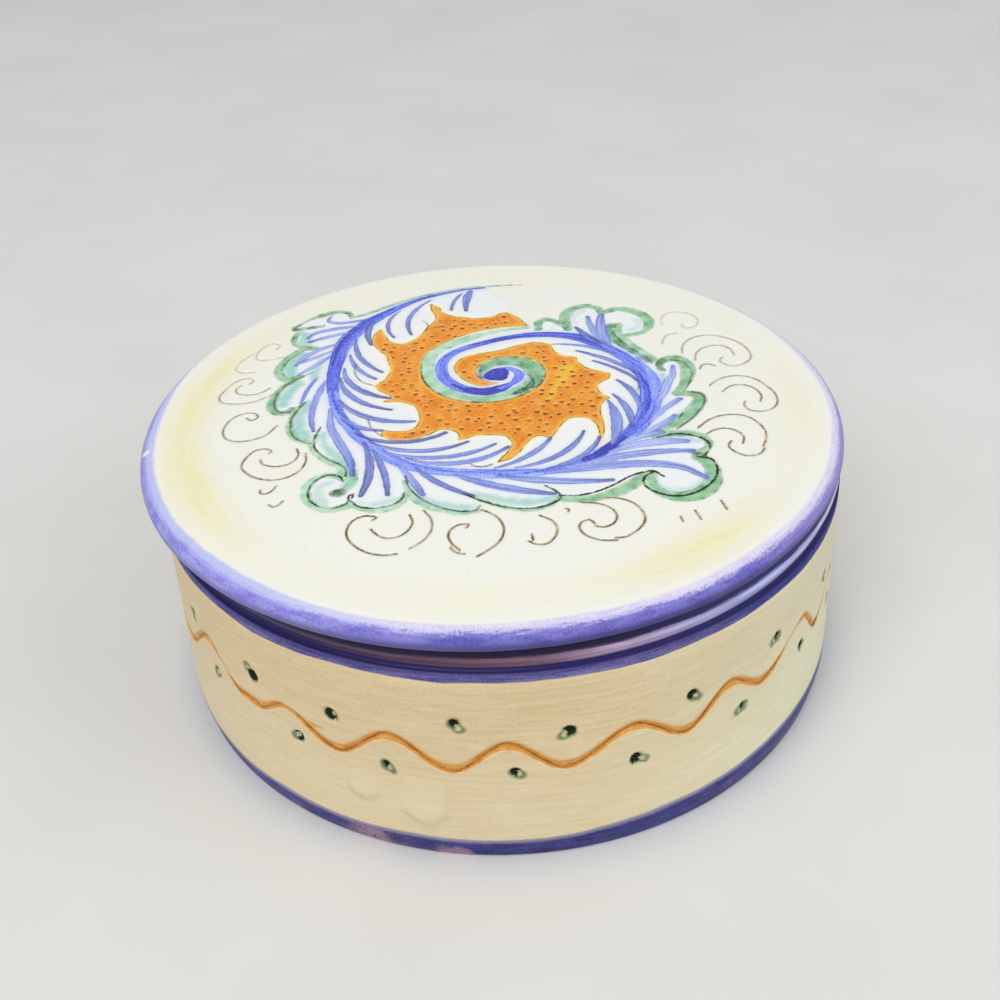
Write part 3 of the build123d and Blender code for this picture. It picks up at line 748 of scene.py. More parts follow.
class Body:
    """A mesh being put together: points in millimetres, faces, and each point's length along the section."""

    def __init__(self, points, faces):
        self.points = [points]
        self.count = len(points)
        self.faces = [tuple(face) for face in faces]
        self.charts = [0] * len(self.faces)
        self.section = [np.zeros(len(points))]

    def turn_on(self, border, line, chart_starts):
        """Turns a section line round the axis, onward from a border ring, to a middle point at its end.
        chart_starts are the lengths along the line at which a new chart of the texture map begins."""
        previous = border
        run = 0.0
        for (r0, z0), (r1, z1) in zip(line[:-1], line[1:]):
            chart = 1 + sum(run >= start for start in chart_starts)
            run += math.dist((r0, z0), (r1, z1))
            tip = r1 < ON_AXIS
            self.points.append(np.array([[0.0, 0.0, z1]]) if tip else ring_points(r1, z1))
            new = self.count + np.arange(1 if tip else SEGMENTS)
            self.section.append(np.full(len(new), run))
            self.count += len(new)
            for k in range(SEGMENTS):
                after = (k + 1) % SEGMENTS
                corners = [previous[k], previous[after], new[0]] if tip else [
                    previous[k], previous[after], new[after], new[k]]
                self.faces.append(tuple(int(c) for c in corners))
                self.charts.append(chart)
            previous = new
        return self

    def finish(self, name, axis_x, fields, layout):
        """Makes the object, with one float field per painted layer and its own texture map."""
        points = np.vstack(self.points)
        mesh = bpy.data.meshes.new(name)
        mesh.from_pydata(((points + [axis_x, 0, 0]) * MM).tolist(), [], self.faces)
        chart = mesh.attributes.new("chart", "INT", "FACE")
        chart.data.foreach_set("value", np.array(self.charts, np.int32))
        shape = bmesh.new()
        shape.from_mesh(mesh)
        bmesh.ops.recalc_face_normals(shape, faces=shape.faces)
        shape.to_mesh(mesh)
        shape.free()
        mesh.polygons.foreach_set("use_smooth", np.ones(len(mesh.polygons), bool))
        for field, values in fields.items():
            full = np.full(self.count, float(values[1]))
            full[:len(values[0])] = values[0]
            mesh.attributes.new(field, "FLOAT", "POINT").data.foreach_set("value", full.astype(np.float32))
        lay_out(mesh, points, np.concatenate(self.section), layout)
        obj = bpy.data.objects.new(name, mesh)
        bpy.context.scene.collection.objects.link(obj)
        return obj


def lay_out(mesh, points, section, layout):
    """The texture map: each chart is placed by its own function of angle, radius and section length."""
    corner = np.empty(len(mesh.loops), int)
    mesh.loops.foreach_get("vertex_index", corner)
    start = np.empty(len(mesh.polygons), int)
    size = np.empty(len(mesh.polygons), int)
    mesh.polygons.foreach_get("loop_start", start)
    mesh.polygons.foreach_get("loop_total", size)
    face_of = np.repeat(np.arange(len(size)), size)
    chart = np.empty(len(mesh.polygons), np.int32)
    mesh.attributes["chart"].data.foreach_get("value", chart)
    angle = np.arctan2(points[:, 0], -points[:, 1])[corner]
    first = angle[start][face_of]
    angle -= 2 * math.pi * np.round((angle - first) / (2 * math.pi))
    middle = (np.add.reduceat(angle, start) / size)[face_of]
    place = np.zeros((len(corner), 2))
    for number, placed in enumerate(layout):
        here = chart[face_of] == number
        place[here] = placed(points[corner[here]], section[corner[here]], angle[here], middle[here])
    mesh.uv_layers.new(name="OFBake").data.foreach_set("uv", place.astype(np.float32).ravel())


def disc_chart(centre, scale, length_at_middle=None):
    """A round chart by distance from the axis or, with a length, by what is left of the section line."""
    def placed(point, section, angle, middle):
        radius = np.hypot(point[:, 0], point[:, 1])
        if length_at_middle is not None:
            radius = length_at_middle - section
        across = centre[0] + scale * radius * np.sin(angle)
        up = centre[1] - scale * radius * np.cos(angle)
        return np.stack([across, up], axis=1)
    return placed


# The lid

def edge_line(scallops):
    return np.vstack([smooth_line(scallop)[:-1] for scallop in scallops])


def scatter_pits():
    """Punched dots over the orange ground, on a loosened lattice, with a radius for each."""
    chance = np.random.default_rng(PIT_SEED)
    centres, _ = lattice(PITS_LOW, PITS_HIGH, PIT_SPACING)
    centres = centres + chance.uniform(-PIT_JITTER, PIT_JITTER, centres.shape)
    inside = Layer(centres).region(edge_line(ORANGE_EDGE)).depth
    centres = centres[inside > PIT_MARGIN]
    return centres, chance.uniform(*PIT_RADII, len(centres))


def leaf_outline():
    corners = [point for _, _, points in GREEN_BORDER for point in points]
    return np.array(corners[ROOT_POINTS:] + LEAF_ROOT, float)


def lid_sheet(pits):
    """Flat points over the top of the lid, closest on the leaf and in rows along the scratched lines."""
    border = ring_points(LID_SHEET_RADIUS, 0)[:, :2]
    reach = (LID_SHEET_RADIUS, LID_SHEET_RADIUS)
    spread, coarse = lattice((-reach[0], -reach[1]), reach, FINE_STEP)
    lines = [smooth_line(points) for _, points in LEAF_SCRATCHES + CURLS]
    rows = np.vstack([rows_along(line, (0, -SCRATCH_REACH, SCRATCH_REACH)) for line in lines])
    rows = np.vstack([rows, rings(pits, PIT_RADII[1] * np.array(PIT_RINGS))])
    on_leaf = Layer(spread).region(leaf_outline()).depth > -REACH / 2
    marks = Layer(spread)
    for line in lines:
        marks.stroke(line, [0.0])
    pit_gap = Layer(spread).spots(pits, PIT_RADII[1] * PIT_RINGS[-1]).depth
    clear = (marks.depth < -SCRATCH_REACH * SCRATCH_CLEARANCE) & (pit_gap < -FINE_STEP / 2)
    clear &= np.hypot(*spread.T) < LID_SHEET_RADIUS - FINE_STEP
    spread = spread[clear & (coarse | on_leaf)]
    return triangulated(np.vstack([border, thinned(np.vstack([rows, spread]), FINE_STEP / 4)]), SEGMENTS)


def wash_strength(xy):
    """The soft yellow wash near the lid's edge."""
    radius = np.hypot(*xy.T)
    direction = np.degrees(np.arctan2(xy[:, 1], xy[:, 0]))
    strength = np.full(len(xy), WASH_EVERYWHERE)
    for centre, spread, amount in WASH_PATCHES:
        turned = (direction - centre + 180) % 360 - 180
        strength += amount * np.exp(-(turned / spread) ** 2)
    return strength * np.exp(-((radius - WASH_RADIUS) / WASH_WIDTH) ** 2)


def toned_fields(name, layer):
    """The fields of a layer whose strokes each have a tone."""
    return {name: (layer.depth, -REACH), name + "_tone": (layer.tone, 0)}


def brushed_fields(name, layer):
    """The same for streaky strokes, with the top stroke's own depth and the place along and across it."""
    return {
        **toned_fields(name, layer),
        name + "_own": (layer.own, -REACH),
        name + "_along": (layer.along, 0),
        name + "_across": (layer.across, 0),
    }


def make_lid():
    pits, pit_radii = scatter_pits()
    xy, triangles = lid_sheet(pits)
    scratch = Layer(xy).scratches(LEAF_SCRATCHES, SCRATCH_WIDTH)
    curl = Layer(xy).scratches(CURLS, CURL_WIDTH)
    pit = Layer(xy).spots(pits, pit_radii)
    core = Layer(xy * PIT_CORE_SQUASH).spots((pits + PIT_CORE_SHIFT) * PIT_CORE_SQUASH, pit_radii * PIT_CORE)
    line_gap = np.minimum(SCRATCH_WIDTH / 2 - scratch.depth, CURL_WIDTH / 2 - curl.depth)
    height = -SCRATCH_DEPTH * np.clip(1 - line_gap / SCRATCH_REACH, 0, 1)
    height -= PIT_DEPTH * np.sqrt(np.clip(pit.depth / PIT_RADII[1], 0, 1))
    body = Body(np.column_stack([xy, lid_top + height]), triangles)

    section = split_long(rounded([
        (LID_SHEET_RADIUS, lid_top),
        (lid_radius, lid_top, LID_TOP_ROUND),
        (lid_radius, rim_height, LID_LOW_ROUND),
        (RING_RADIUS, rim_height, RING_ROOT_ROUND),
        (RING_RADIUS, ring_low, RING_EDGE_ROUND),
        (RING_BORE, ring_low, RING_EDGE_ROUND),
        (RING_BORE, rim_height, CEILING_ROUND),
        (0, rim_height),
    ]), LONGEST_RUN)
    body.turn_on(np.arange(SEGMENTS), section, [LID_EDGE_LENGTH])
    total = lengths_along(np.array(section))[-1]
    edge = np.concatenate([np.hypot(*xy.T) - LID_SHEET_RADIUS] + body.section[1:])
    green = Layer(xy).strokes(GREEN_BORDER + OTHER_GREENS)
    fields = {
        "orange": (Layer(xy).region(edge_line(ORANGE_EDGE)).depth, -REACH),
        "leaf": (Layer(xy).region(leaf_outline()).depth, -REACH),
        **toned_fields("scratch", scratch),
        **toned_fields("curl", curl),
        "pit": (pit.depth, -REACH),
        "pit_core": (core.depth, -REACH),
        "wash": (wash_strength(xy), 0),
        "edge": (edge, 0),
        **brushed_fields("stem", Layer(xy).strokes(MIDRIB)),
        **brushed_fields("vein", Layer(xy).strokes(OUTER_VEINS + INNER_VEINS, VEIN_TIP, VEIN_START)),
        **toned_fields("green", green),
        "green_own": (green.own, -REACH),
        **toned_fields("teal", Layer(xy).strokes(TEAL_WASHES)),
        **toned_fields("yellow", Layer(xy).strokes(YELLOW_STREAKS)),
    }

    def rim_chart(point, section_length, angle, middle):
        """The lid's edge, as a ring round the chart of its top."""
        radius = LID_SHEET_RADIUS + section_length
        place = np.stack([radius * np.sin(angle), -radius * np.cos(angle)], axis=1)
        return LID_CHART_MIDDLE + LID_CHART_SCALE * place

    layout = [
        disc_chart(LID_CHART_MIDDLE, LID_CHART_SCALE),
        rim_chart,
        disc_chart(UNDERSIDE_CHART_MIDDLE, UNDERSIDE_CHART_RADIUS / (total - LID_EDGE_LENGTH), total),
    ]
    return body.finish("lid_painted", lid_axis, fields, layout)


# The pot

def wall_radius_at(height):
    return wall_radius - WALL_LEAN * (height - FOOT_RISE) / (GROOVE_LOW - FOOT_RISE)


sheet_radius = wall_radius_at((WALL_SHEET_LOW + WALL_SHEET_HIGH) / 2)
circumference = 2 * math.pi * sheet_radius
WHOLE_TURNS = np.array([[-circumference, 0], [0, 0], [circumference, 0]])


def hidden_turns():
    """The wavy line's turns on the far side, evenly spaced, and low and high in alternation."""
    chance = np.random.default_rng(HIDDEN_SEED)
    arcs = np.linspace(WAVE_SEEN[-1][0], WAVE_SEEN[0][0] + circumference, HIDDEN_TURNS + 2)[1:-1]
    return [(arc + chance.uniform(-HIDDEN_ARC_PLAY, HIDDEN_ARC_PLAY),
             HIDDEN_WAVE_HEIGHTS[k % 2] + chance.uniform(-HIDDEN_HEIGHT_PLAY, HIDDEN_HEIGHT_PLAY))
            for k, arc in enumerate(arcs)]


def wave_line():
    """The wavy line, from the photograph's left right round to it again, eased from turn to turn."""
    turns = np.array(WAVE_SEEN + hidden_turns() + [(WAVE_SEEN[0][0] + circumference, WAVE_SEEN[0][1])])
    arc = np.arange(turns[0, 0], turns[-1, 0], LINE_STEP)
    number = np.interp(arc, turns[:, 0], np.arange(len(turns)))
    eased = np.floor(number) + (1 - np.cos(math.pi * (number % 1))) / 2
    return np.stack([arc, np.interp(eased, np.arange(len(turns)), turns[:, 1])], axis=1)


def dot_places():
    """The punched dots, their radii, and the ends of the green tails that the wet glaze left beside them."""
    chance = np.random.default_rng(HIDDEN_DOT_SEED)
    rises = (DOT_RISE, -DOT_RISE)
    hidden = []
    for k, (arc, height) in enumerate(hidden_turns()):
        place = (arc + chance.uniform(-HIDDEN_ARC_PLAY, HIDDEN_ARC_PLAY), height + rises[k % 2])
        radius = chance.uniform(*HIDDEN_DOT_RADII)
        tail = (chance.uniform(*HIDDEN_TAILS_ALONG), chance.uniform(*HIDDEN_TAILS_UP))
        hidden.append((*place, radius, *tail))
    placed = np.array(WALL_DOTS + hidden)
    dots = placed[:, :2]
    return dots, placed[:, 2], dots + placed[:, 3:]


def wrapped(points):
    """The same points with their arcs brought between minus and plus half of the way round."""
    arc = (points[:, 0] + circumference / 2) % circumference - circumference / 2
    return np.stack([arc, points[:, 1]], axis=1)


def with_overlap(points):
    """The points, with copies a whole turn to either side, so that marks carry on across the seam."""
    return np.vstack([points + whole_turn for whole_turn in WHOLE_TURNS])


def slip_drips(xy):
    """The drips of slip at each point of the wall: thickness from 0 to 1, and the shade under their ends."""
    thickness = np.zeros(len(xy))
    shade = np.zeros(len(xy))
    for arc, middle, radius in SLIP_DRIPS:
        below = middle - xy[:, 1]
        inward = radius - np.hypot(xy[:, 0] - arc, np.maximum(below, 0))
        run = np.clip(1 + below / DRIP_RUN, 0, 1)
        end = np.clip(below / (DRIP_END * radius), 0, 1)
        thickness = np.maximum(thickness, run * np.clip(inward / DRIP_SLOPE, 0, 1))
        shade = np.maximum(shade, end * np.clip(1 - np.abs(inward) / DRIP_SLOPE, 0, 1))
    return thickness, shade


def wall_sheet(wave, dots):
    """Points over the unrolled wall, closest by the wavy line and the dots. Its two ends are joined.
    The first points are the ring along its lower edge and then the one along its upper edge."""
    arcs = ring_angles() * sheet_radius
    border = np.vstack([np.stack([arcs, np.full(SEGMENTS, height)], axis=1)
                        for height in (WALL_SHEET_LOW, WALL_SHEET_HIGH)])
    half = circumference / 2
    spread, coarse = lattice((-half, WALL_SHEET_LOW), (half, WALL_SHEET_HIGH), FINE_STEP)
    marks = Layer(spread)
    for whole_turn in WHOLE_TURNS:
        marks.stroke(wave + whole_turn, [0.0])
    dot_gap = Layer(spread).spots(with_overlap(dots), WALL_DOT_RADIUS * WALL_DOT_CLEARANCE).depth
    dripped = np.maximum(*slip_drips(spread)) > 0
    close = (marks.depth > -WAVE_REACH * 2) | (dot_gap > -REACH / 2) | dripped
    clear = (marks.depth < -WAVE_REACH - FINE_STEP / 2) & (dot_gap < 0)
    margin = 2 * FINE_STEP
    clear &= (spread[:, 1] > WALL_SHEET_LOW + margin) & (spread[:, 1] < WALL_SHEET_HIGH - margin)
    rows = wrapped(rows_along(wave, np.linspace(-WAVE_REACH, WAVE_REACH, WAVE_ROWS)))
    dot_points = wrapped(rings(dots, WALL_DOT_RADIUS * np.array(WALL_DOT_RINGS)))
    inner = thinned(np.vstack([rows, dot_points, spread[clear & (close | coarse)]]), FINE_STEP / 4)
    inner = inner[np.abs(inner[:, 0]) < half - FINE_STEP / 2]
    seam = np.linspace(WALL_SHEET_LOW, WALL_SHEET_HIGH, SEAM_POINTS)
    left = np.stack([np.full(SEAM_POINTS, -half), seam], axis=1)[1:-1]
    right = np.stack([np.full(SEAM_POINTS, half), seam], axis=1)
    kept = len(border) + len(left) + len(right)
    xy, triangles = triangulated(np.vstack([border, left, right, inner]), kept)
    # the right end of the unrolled wall is its left end again
    same = np.arange(len(xy))
    same[kept - len(right):kept] = [0, *range(len(border), len(border) + len(left)), SEGMENTS]
    single = same == np.arange(len(xy))
    number = np.cumsum(single) - 1
    return xy[single], number[same[triangles]]


class Groove:
    """The wavy groove at each point of the wall. It is wide where the tool ran level and narrow where it
    climbed, and its deepest line lies low in the troughs and high on the crests."""

    def __init__(self, xy, wave):
        layer = Layer(xy)
        for whole_turn in WHOLE_TURNS:
            layer.stroke(wave + whole_turn, [0.0])
        far = layer.depth <= -REACH
        across = np.where(far, REACH, layer.across)
        length = lengths_along(wave)
        climb = np.gradient(wave[:, 1], length)
        bend = np.clip(np.gradient(climb, length) * WAVE_BEND, -1, 1)
        level = np.clip(1 - np.abs(climb) * WAVE_CLIMB, 0, 1)
        half = np.interp(layer.along, length, WAVE_NARROW + (WAVE_WIDE - WAVE_NARROW) * level) / 2
        self.press = np.ones(len(xy))
        for place, spread, share in WAVE_THIN:
            self.press *= 1 - share * np.exp(-((xy[:, 0] - place) / spread) ** 2)
        half *= self.press
        valley = -half * (WAVE_DROOP + WAVE_LEAN * np.interp(layer.along, length, bend))
        self.depth = np.maximum(half - np.abs(across), -REACH)
        self.valley = np.abs(across - valley)
        below = (across + half) / (valley + half)
        above = (half - across) / (half - valley)
        self.lip = np.exp(-((across + half + LIP_WIDTH) / LIP_WIDTH) ** 2)
        self.height = WAVE_BURR * self.lip - WAVE_DEPTH * np.clip(np.minimum(below, above), 0, 1)
        fork = Layer(xy).stroke(smooth_line(WAVE_FORK), FORK_WIDTHS).depth
        self.depth = np.maximum(self.depth, fork)
        self.height = np.minimum(self.height, -np.maximum(fork, 0))


def worn_places(body):
    """How far the blue bands are rubbed away."""
    points = np.vstack(body.points)
    arc = np.arctan2(points[:, 0], -points[:, 1]) * wall_radius
    return sum(amount * np.exp(-((arc - place) / along) ** 2 - ((points[:, 2] - height) / up) ** 2)
               for place, height, along, up, amount in WORN_PATCHES)


def pot_sections():
    """Section lines from the wall sheet: down to the foot, up to the rim, and from there down inside."""
    low_line = rounded([
        (wall_radius_at(WALL_SHEET_LOW), WALL_SHEET_LOW),
        (wall_radius, FOOT_RISE, FOOT_BLEND),
        (wall_radius - FOOT_INSET, 0, FOOT_ROUND),
        (0, 0),
    ])
    wall_top = wall_radius - WALL_LEAN
    bead = wall_top - BEAD_INSET
    bead_low = GROOVE_LOW + GROOVE_HEIGHT
    groove_line = arc_through(
        (wall_top, GROOVE_LOW),
        (wall_top - GROOVE_DEPTH, GROOVE_LOW + GROOVE_HEIGHT / 2),
        (bead - BEAD_LOWER_INSET, bead_low),
        2 * ARC_STEPS,
    )
    bead_line = arc_through(
        (bead - BEAD_LOWER_INSET, bead_low),
        (bead, bead_low + BEAD_CREST),
        (bead - BEAD_UPPER_INSET, rim_height),
        2 * ARC_STEPS,
    )
    mouth = wall_top - WALL_THICKNESS
    inside_line = rounded([
        bead_line[-1],
        (mouth, rim_height, MOUTH_ROUND),
        (mouth, FLOOR_HEIGHT, FLOOR_ROUND),
        (0, FLOOR_HEIGHT),
    ])
    outside_line = [(wall_radius_at(WALL_SHEET_HIGH), WALL_SHEET_HIGH)] + groove_line + bead_line[1:]
    return low_line, outside_line, inside_line


def make_base():
    wave = wave_line()
    dots, dot_radii, tails = dot_places()
    xy, triangles = wall_sheet(wave, dots)
    groove = Groove(xy, wave)
    dot = Layer(xy).spots(with_overlap(dots), np.tile(dot_radii, len(WHOLE_TURNS)))
    glint = Layer(xy).spots(with_overlap(dots + (tails - dots) * GLINT_PLACE), GLINT_RADIUS)
    tail = Layer(xy)
    for ends in zip(with_overlap(dots), with_overlap(tails)):
        tail.stroke(np.array(ends), DOT_TAIL_WIDTHS)
    hollow = groove.height - WALL_DOT_DEPTH * np.sqrt(np.clip(dot.depth / WALL_DOT_RADIUS, 0, 1))
    drip, drip_shade = slip_drips(xy)
    radius = wall_radius_at(xy[:, 1]) + hollow + DRIP_RISE * drip
    angle = xy[:, 0] / sheet_radius
    body = Body(np.column_stack([radius * np.sin(angle), -radius * np.cos(angle), xy[:, 1]]), triangles)

    low_line, outside_line, inside_line = pot_sections()
    rim_length = lengths_along(np.array(outside_line))[-1]
    low_line = split_long(low_line, LONGEST_RUN)
    high_line = split_long(outside_line + inside_line[1:], LONGEST_RUN)
    body.turn_on(np.arange(SEGMENTS), low_line, [FOOT_EDGE_LENGTH])
    low_count = body.count
    low_faces = len(body.faces)
    body.turn_on(np.arange(SEGMENTS, 2 * SEGMENTS), high_line, [rim_length])
    body.charts[low_faces:] = [chart + 2 for chart in body.charts[low_faces:]]
    section = np.concatenate(body.section)
    inside = np.zeros(body.count)
    inside[low_count:] = section[low_count:] - rim_length
    bare = np.full(body.count, -FOOT_EDGE_LENGTH)
    bare[len(xy):low_count] = section[len(xy):low_count] - FOOT_EDGE_LENGTH
    fields = {
        "cut": (groove.depth, -REACH),
        "valley": (groove.valley, REACH),
        "lip": (groove.lip, 0),
        "press": (groove.press, 1),
        "dot": (dot.depth, -REACH),
        "glint": (glint.depth, -REACH),
        "tail": (tail.depth, -REACH),
        "drip": (drip, 0),
        "drip_shade": (drip_shade, 0),
        "worn": (worn_places(body), 0),
        "inside": (inside, 0),
        "bare": (bare, 0),
    }
    high_total = lengths_along(np.array(high_line))[-1]

    def band_chart(point, section_length, angle, middle):
        """The outside in two strips, the near half below the far half."""
        far = np.abs((middle + math.pi) % (2 * math.pi) - math.pi) > math.pi / 2
        turned = angle - np.where(far, np.round((middle - math.pi) / (2 * math.pi)) * 2 * math.pi + math.pi,
                                  np.round(middle / (2 * math.pi)) * 2 * math.pi)
        across = WALL_CHART_MIDDLE + WALL_CHART_PER_RADIAN * turned
        up = np.where(far, WALL_CHART_LOW_FAR, WALL_CHART_LOW_NEAR) + WALL_CHART_SCALE * point[:, 2]
        return np.stack([across, up], axis=1)

    layout = [
        band_chart,
        band_chart,
        disc_chart(FOOT_CHART_MIDDLE, FOOT_CHART_SCALE),
        band_chart,
        disc_chart(INSIDE_CHART_MIDDLE, INSIDE_CHART_RADIUS / (high_total - rim_length), high_total),
    ]
    return body.finish("base_painted", 0.0, fields, layout)


# Materials

SPECULAR_LEVEL = 0.22
STREAK_DETAIL = 3.0
LID_ROUGHNESS = 0.36
POT_ROUGHNESS = 0.4
FLOOR_ROUGHNESS = 0.6
CLAY_ROUGHER = 0.35           # bare clay is rougher than glaze by this much
GLAZE_RELIEF = 0.12           # height of the fine unevenness, in millimetres
FLOOR_RELIEF = 0.05

# Where each colour on the lid's edge starts and where it is full, in millimetres over the edge
EDGE_PALE = (1.0, 1.9)
EDGE_VIOLET = (2.4, 3.7)
EDGE_SHADE = (4.3, 5.9)
EDGE_GAP = (6.9, 7.6)
EDGE_CLAY = (9.0, 9.8)
EDGE_LINING = (18.0, 19.5)

# The same on the pot: heights, and lengths inward from the rim's outer edge
FOOT_HAZE = (5.6, 5.1)
FOOT_BAND = (5.2, 3.9)
FOOT_BAND_GAIN = 2.0          # the foot's band is wider to the right by this much
UPPER_BAND = (42.75, 43.1)
UPPER_BAND_SHADED = (43.2, 45.0)
GROOVE_DARK = (44.8, 45.15)
BEAD_LIGHT = (45.5, 46.1)
LID_SHADOW = 48.3             # where the lid's shadow starts, at the middle
LID_SHADOW_SLANT = 0.01       # and how much higher per millimetre to the right
RIM_LINE = (49.4, 50.0)
SEAT_CLAY = (0.2, 0.7)
SEAT_LINING = (3.6, 4.4)


def colour(red, green, blue):
    """A colour written as it looks on a screen, from 0 to 255, as the light values that a shader uses."""
    levels = np.array([red, green, blue]) / 255
    linear = np.where(levels > 0.04045, ((levels + 0.055) / 1.055) ** 2.4, levels / 12.92)
    return (*linear, 1.0)


class Shader:
    """A painted glaze under construction. Sizes of noise are in millimetres."""

    def __init__(self, name, axis_x):
        self.material = bpy.data.materials.new(name)
        self.material.use_nodes = True
        self.tree = self.material.node_tree
        self.surface = self.tree.nodes["Principled BSDF"]
        self.place = self.tree.nodes.new("ShaderNodeTexCoord").outputs["Object"]
        from_axis = self.vector_math("SUBTRACT", self.place, (axis_x * MM, 0, 0))
        level = self.vector_math("MULTIPLY", from_axis, (1, 1, 0))
        self.direction = self.vector_math("NORMALIZE", level, (0, 0, 0))

    def plug(self, socket, value):
        if isinstance(value, bpy.types.NodeSocket):
            self.tree.links.new(value, socket)
        else:
            socket.default_value = value

    def field(self, name):
        node = self.tree.nodes.new("ShaderNodeAttribute")
        node.attribute_name = name
        return node.outputs["Fac"]

    def math(self, operation, *values):
        node = self.tree.nodes.new("ShaderNodeMath")
        node.operation = operation
        for socket, value in zip(node.inputs, values):
            self.plug(socket, value)
        return node.outputs[0]

    def vector_math(self, operation, a, b):
        node = self.tree.nodes.new("ShaderNodeVectorMath")
        node.operation = operation
        self.plug(node.inputs[0], a)
        self.plug(node.inputs[1], b)
        return node.outputs[0]

    def add(self, a, b):
        return self.math("ADD", a, b)

    def times(self, a, b):
        return self.math("MULTIPLY", a, b)

    def step(self, value, low, high):
        """Rises smoothly from 0 at low to 1 at high."""
        node = self.tree.nodes.new("ShaderNodeMapRange")
        node.interpolation_type = "SMOOTHSTEP"
        self.plug(node.inputs["Value"], value)
        self.plug(node.inputs["From Min"], low)
        self.plug(node.inputs["From Max"], high)
        return node.outputs["Result"]

    def axis(self, letter):
        """One coordinate of the place on the object, in millimetres."""
        node = self.tree.nodes.new("ShaderNodeSeparateXYZ")
        self.plug(node.inputs[0], self.place)
        return self.times(node.outputs[letter], 1 / MM)

    def across(self):
        """The place from left to right, from 0 to 1 over the lid's width."""
        return self.add(self.times(self.axis("X"), 1 / (2 * lid_radius)), 0.5)

    def noise(self, size, stretch=(1, 1, 1), detail=2.0, shift=0.0):
        """Soft noise about 0, mostly within -0.5 and 0.5."""
        mapping = self.tree.nodes.new("ShaderNodeMapping")
        self.plug(mapping.inputs["Vector"], self.place)
        mapping.inputs["Location"].default_value = (shift, shift, shift)
        mapping.inputs["Scale"].default_value = [1 / (s * size * MM) for s in stretch]
        return self.noise_at(mapping.outputs[0], detail)

    def noise_at(self, vector, detail):
        node = self.tree.nodes.new("ShaderNodeTexNoise")
        node.inputs["Scale"].default_value = 1.0
        node.inputs["Detail"].default_value = detail
        self.plug(node.inputs["Vector"], vector)
        return self.add(node.outputs["Fac"], -0.5)

    def streaks(self, along, across, level, shift=0.0):
        """Noise drawn out round the axis: along is its length that way and across its size up the level."""
        scale = wall_radius / along
        round_axis = self.vector_math("MULTIPLY", self.direction, (scale, scale, 0))
        upward = self.vector(0.0, shift, self.times(level, 1 / across))
        return self.noise_at(self.vector_math("ADD", round_axis, upward), STREAK_DETAIL)

    def vector(self, x, y, z=0.0):
        node = self.tree.nodes.new("ShaderNodeCombineXYZ")
        for socket, value in zip(node.inputs, (x, y, z)):
            self.plug(socket, value)
        return node.outputs[0]

    def mix(self, share, under, over):
        node = self.tree.nodes.new("ShaderNodeMix")
        node.data_type = "RGBA"
        self.plug(node.inputs["Factor"], share)
        self.plug(node.inputs["A"], under)
        self.plug(node.inputs["B"], over)
        return node.outputs["Result"]

    def between(self, value, reach, low, high):
        """A colour that goes from low to high as the value rises from -reach to reach."""
        return self.mix(self.step(value, -reach, reach), low, high)

    def clay(self, low, high):
        """Bare clay, in blotches of two colours."""
        return self.mix(self.step(self.noise(3, detail=4, shift=1.0), -0.2, 0.3), low, high)

    def shades(self, value, stops):
        """A run of colours: pairs of a value and the colour there."""
        node = self.tree.nodes.new("ShaderNodeValToRGB")
        elements = node.color_ramp.elements
        while len(elements) < len(stops):
            elements.new(0.5)
        for element, (at, tint) in zip(elements, stops):
            element.position = at
            element.color = tint
        self.plug(node.inputs["Fac"], value)
        return node.outputs["Color"]

    def finish(self, tint, roughness, relief, depth):
        """Sets the surface. Relief is a height in units of depth, which is in millimetres."""
        self.plug(self.surface.inputs["Base Color"], tint)
        self.plug(self.surface.inputs["Roughness"], roughness)
        self.surface.inputs["Specular IOR Level"].default_value = SPECULAR_LEVEL
        bump = self.tree.nodes.new("ShaderNodeBump")
        bump.inputs["Distance"].default_value = depth * MM
        self.plug(bump.inputs["Height"], relief)
        self.plug(self.surface.inputs["Normal"], bump.outputs[0])
        return self.material


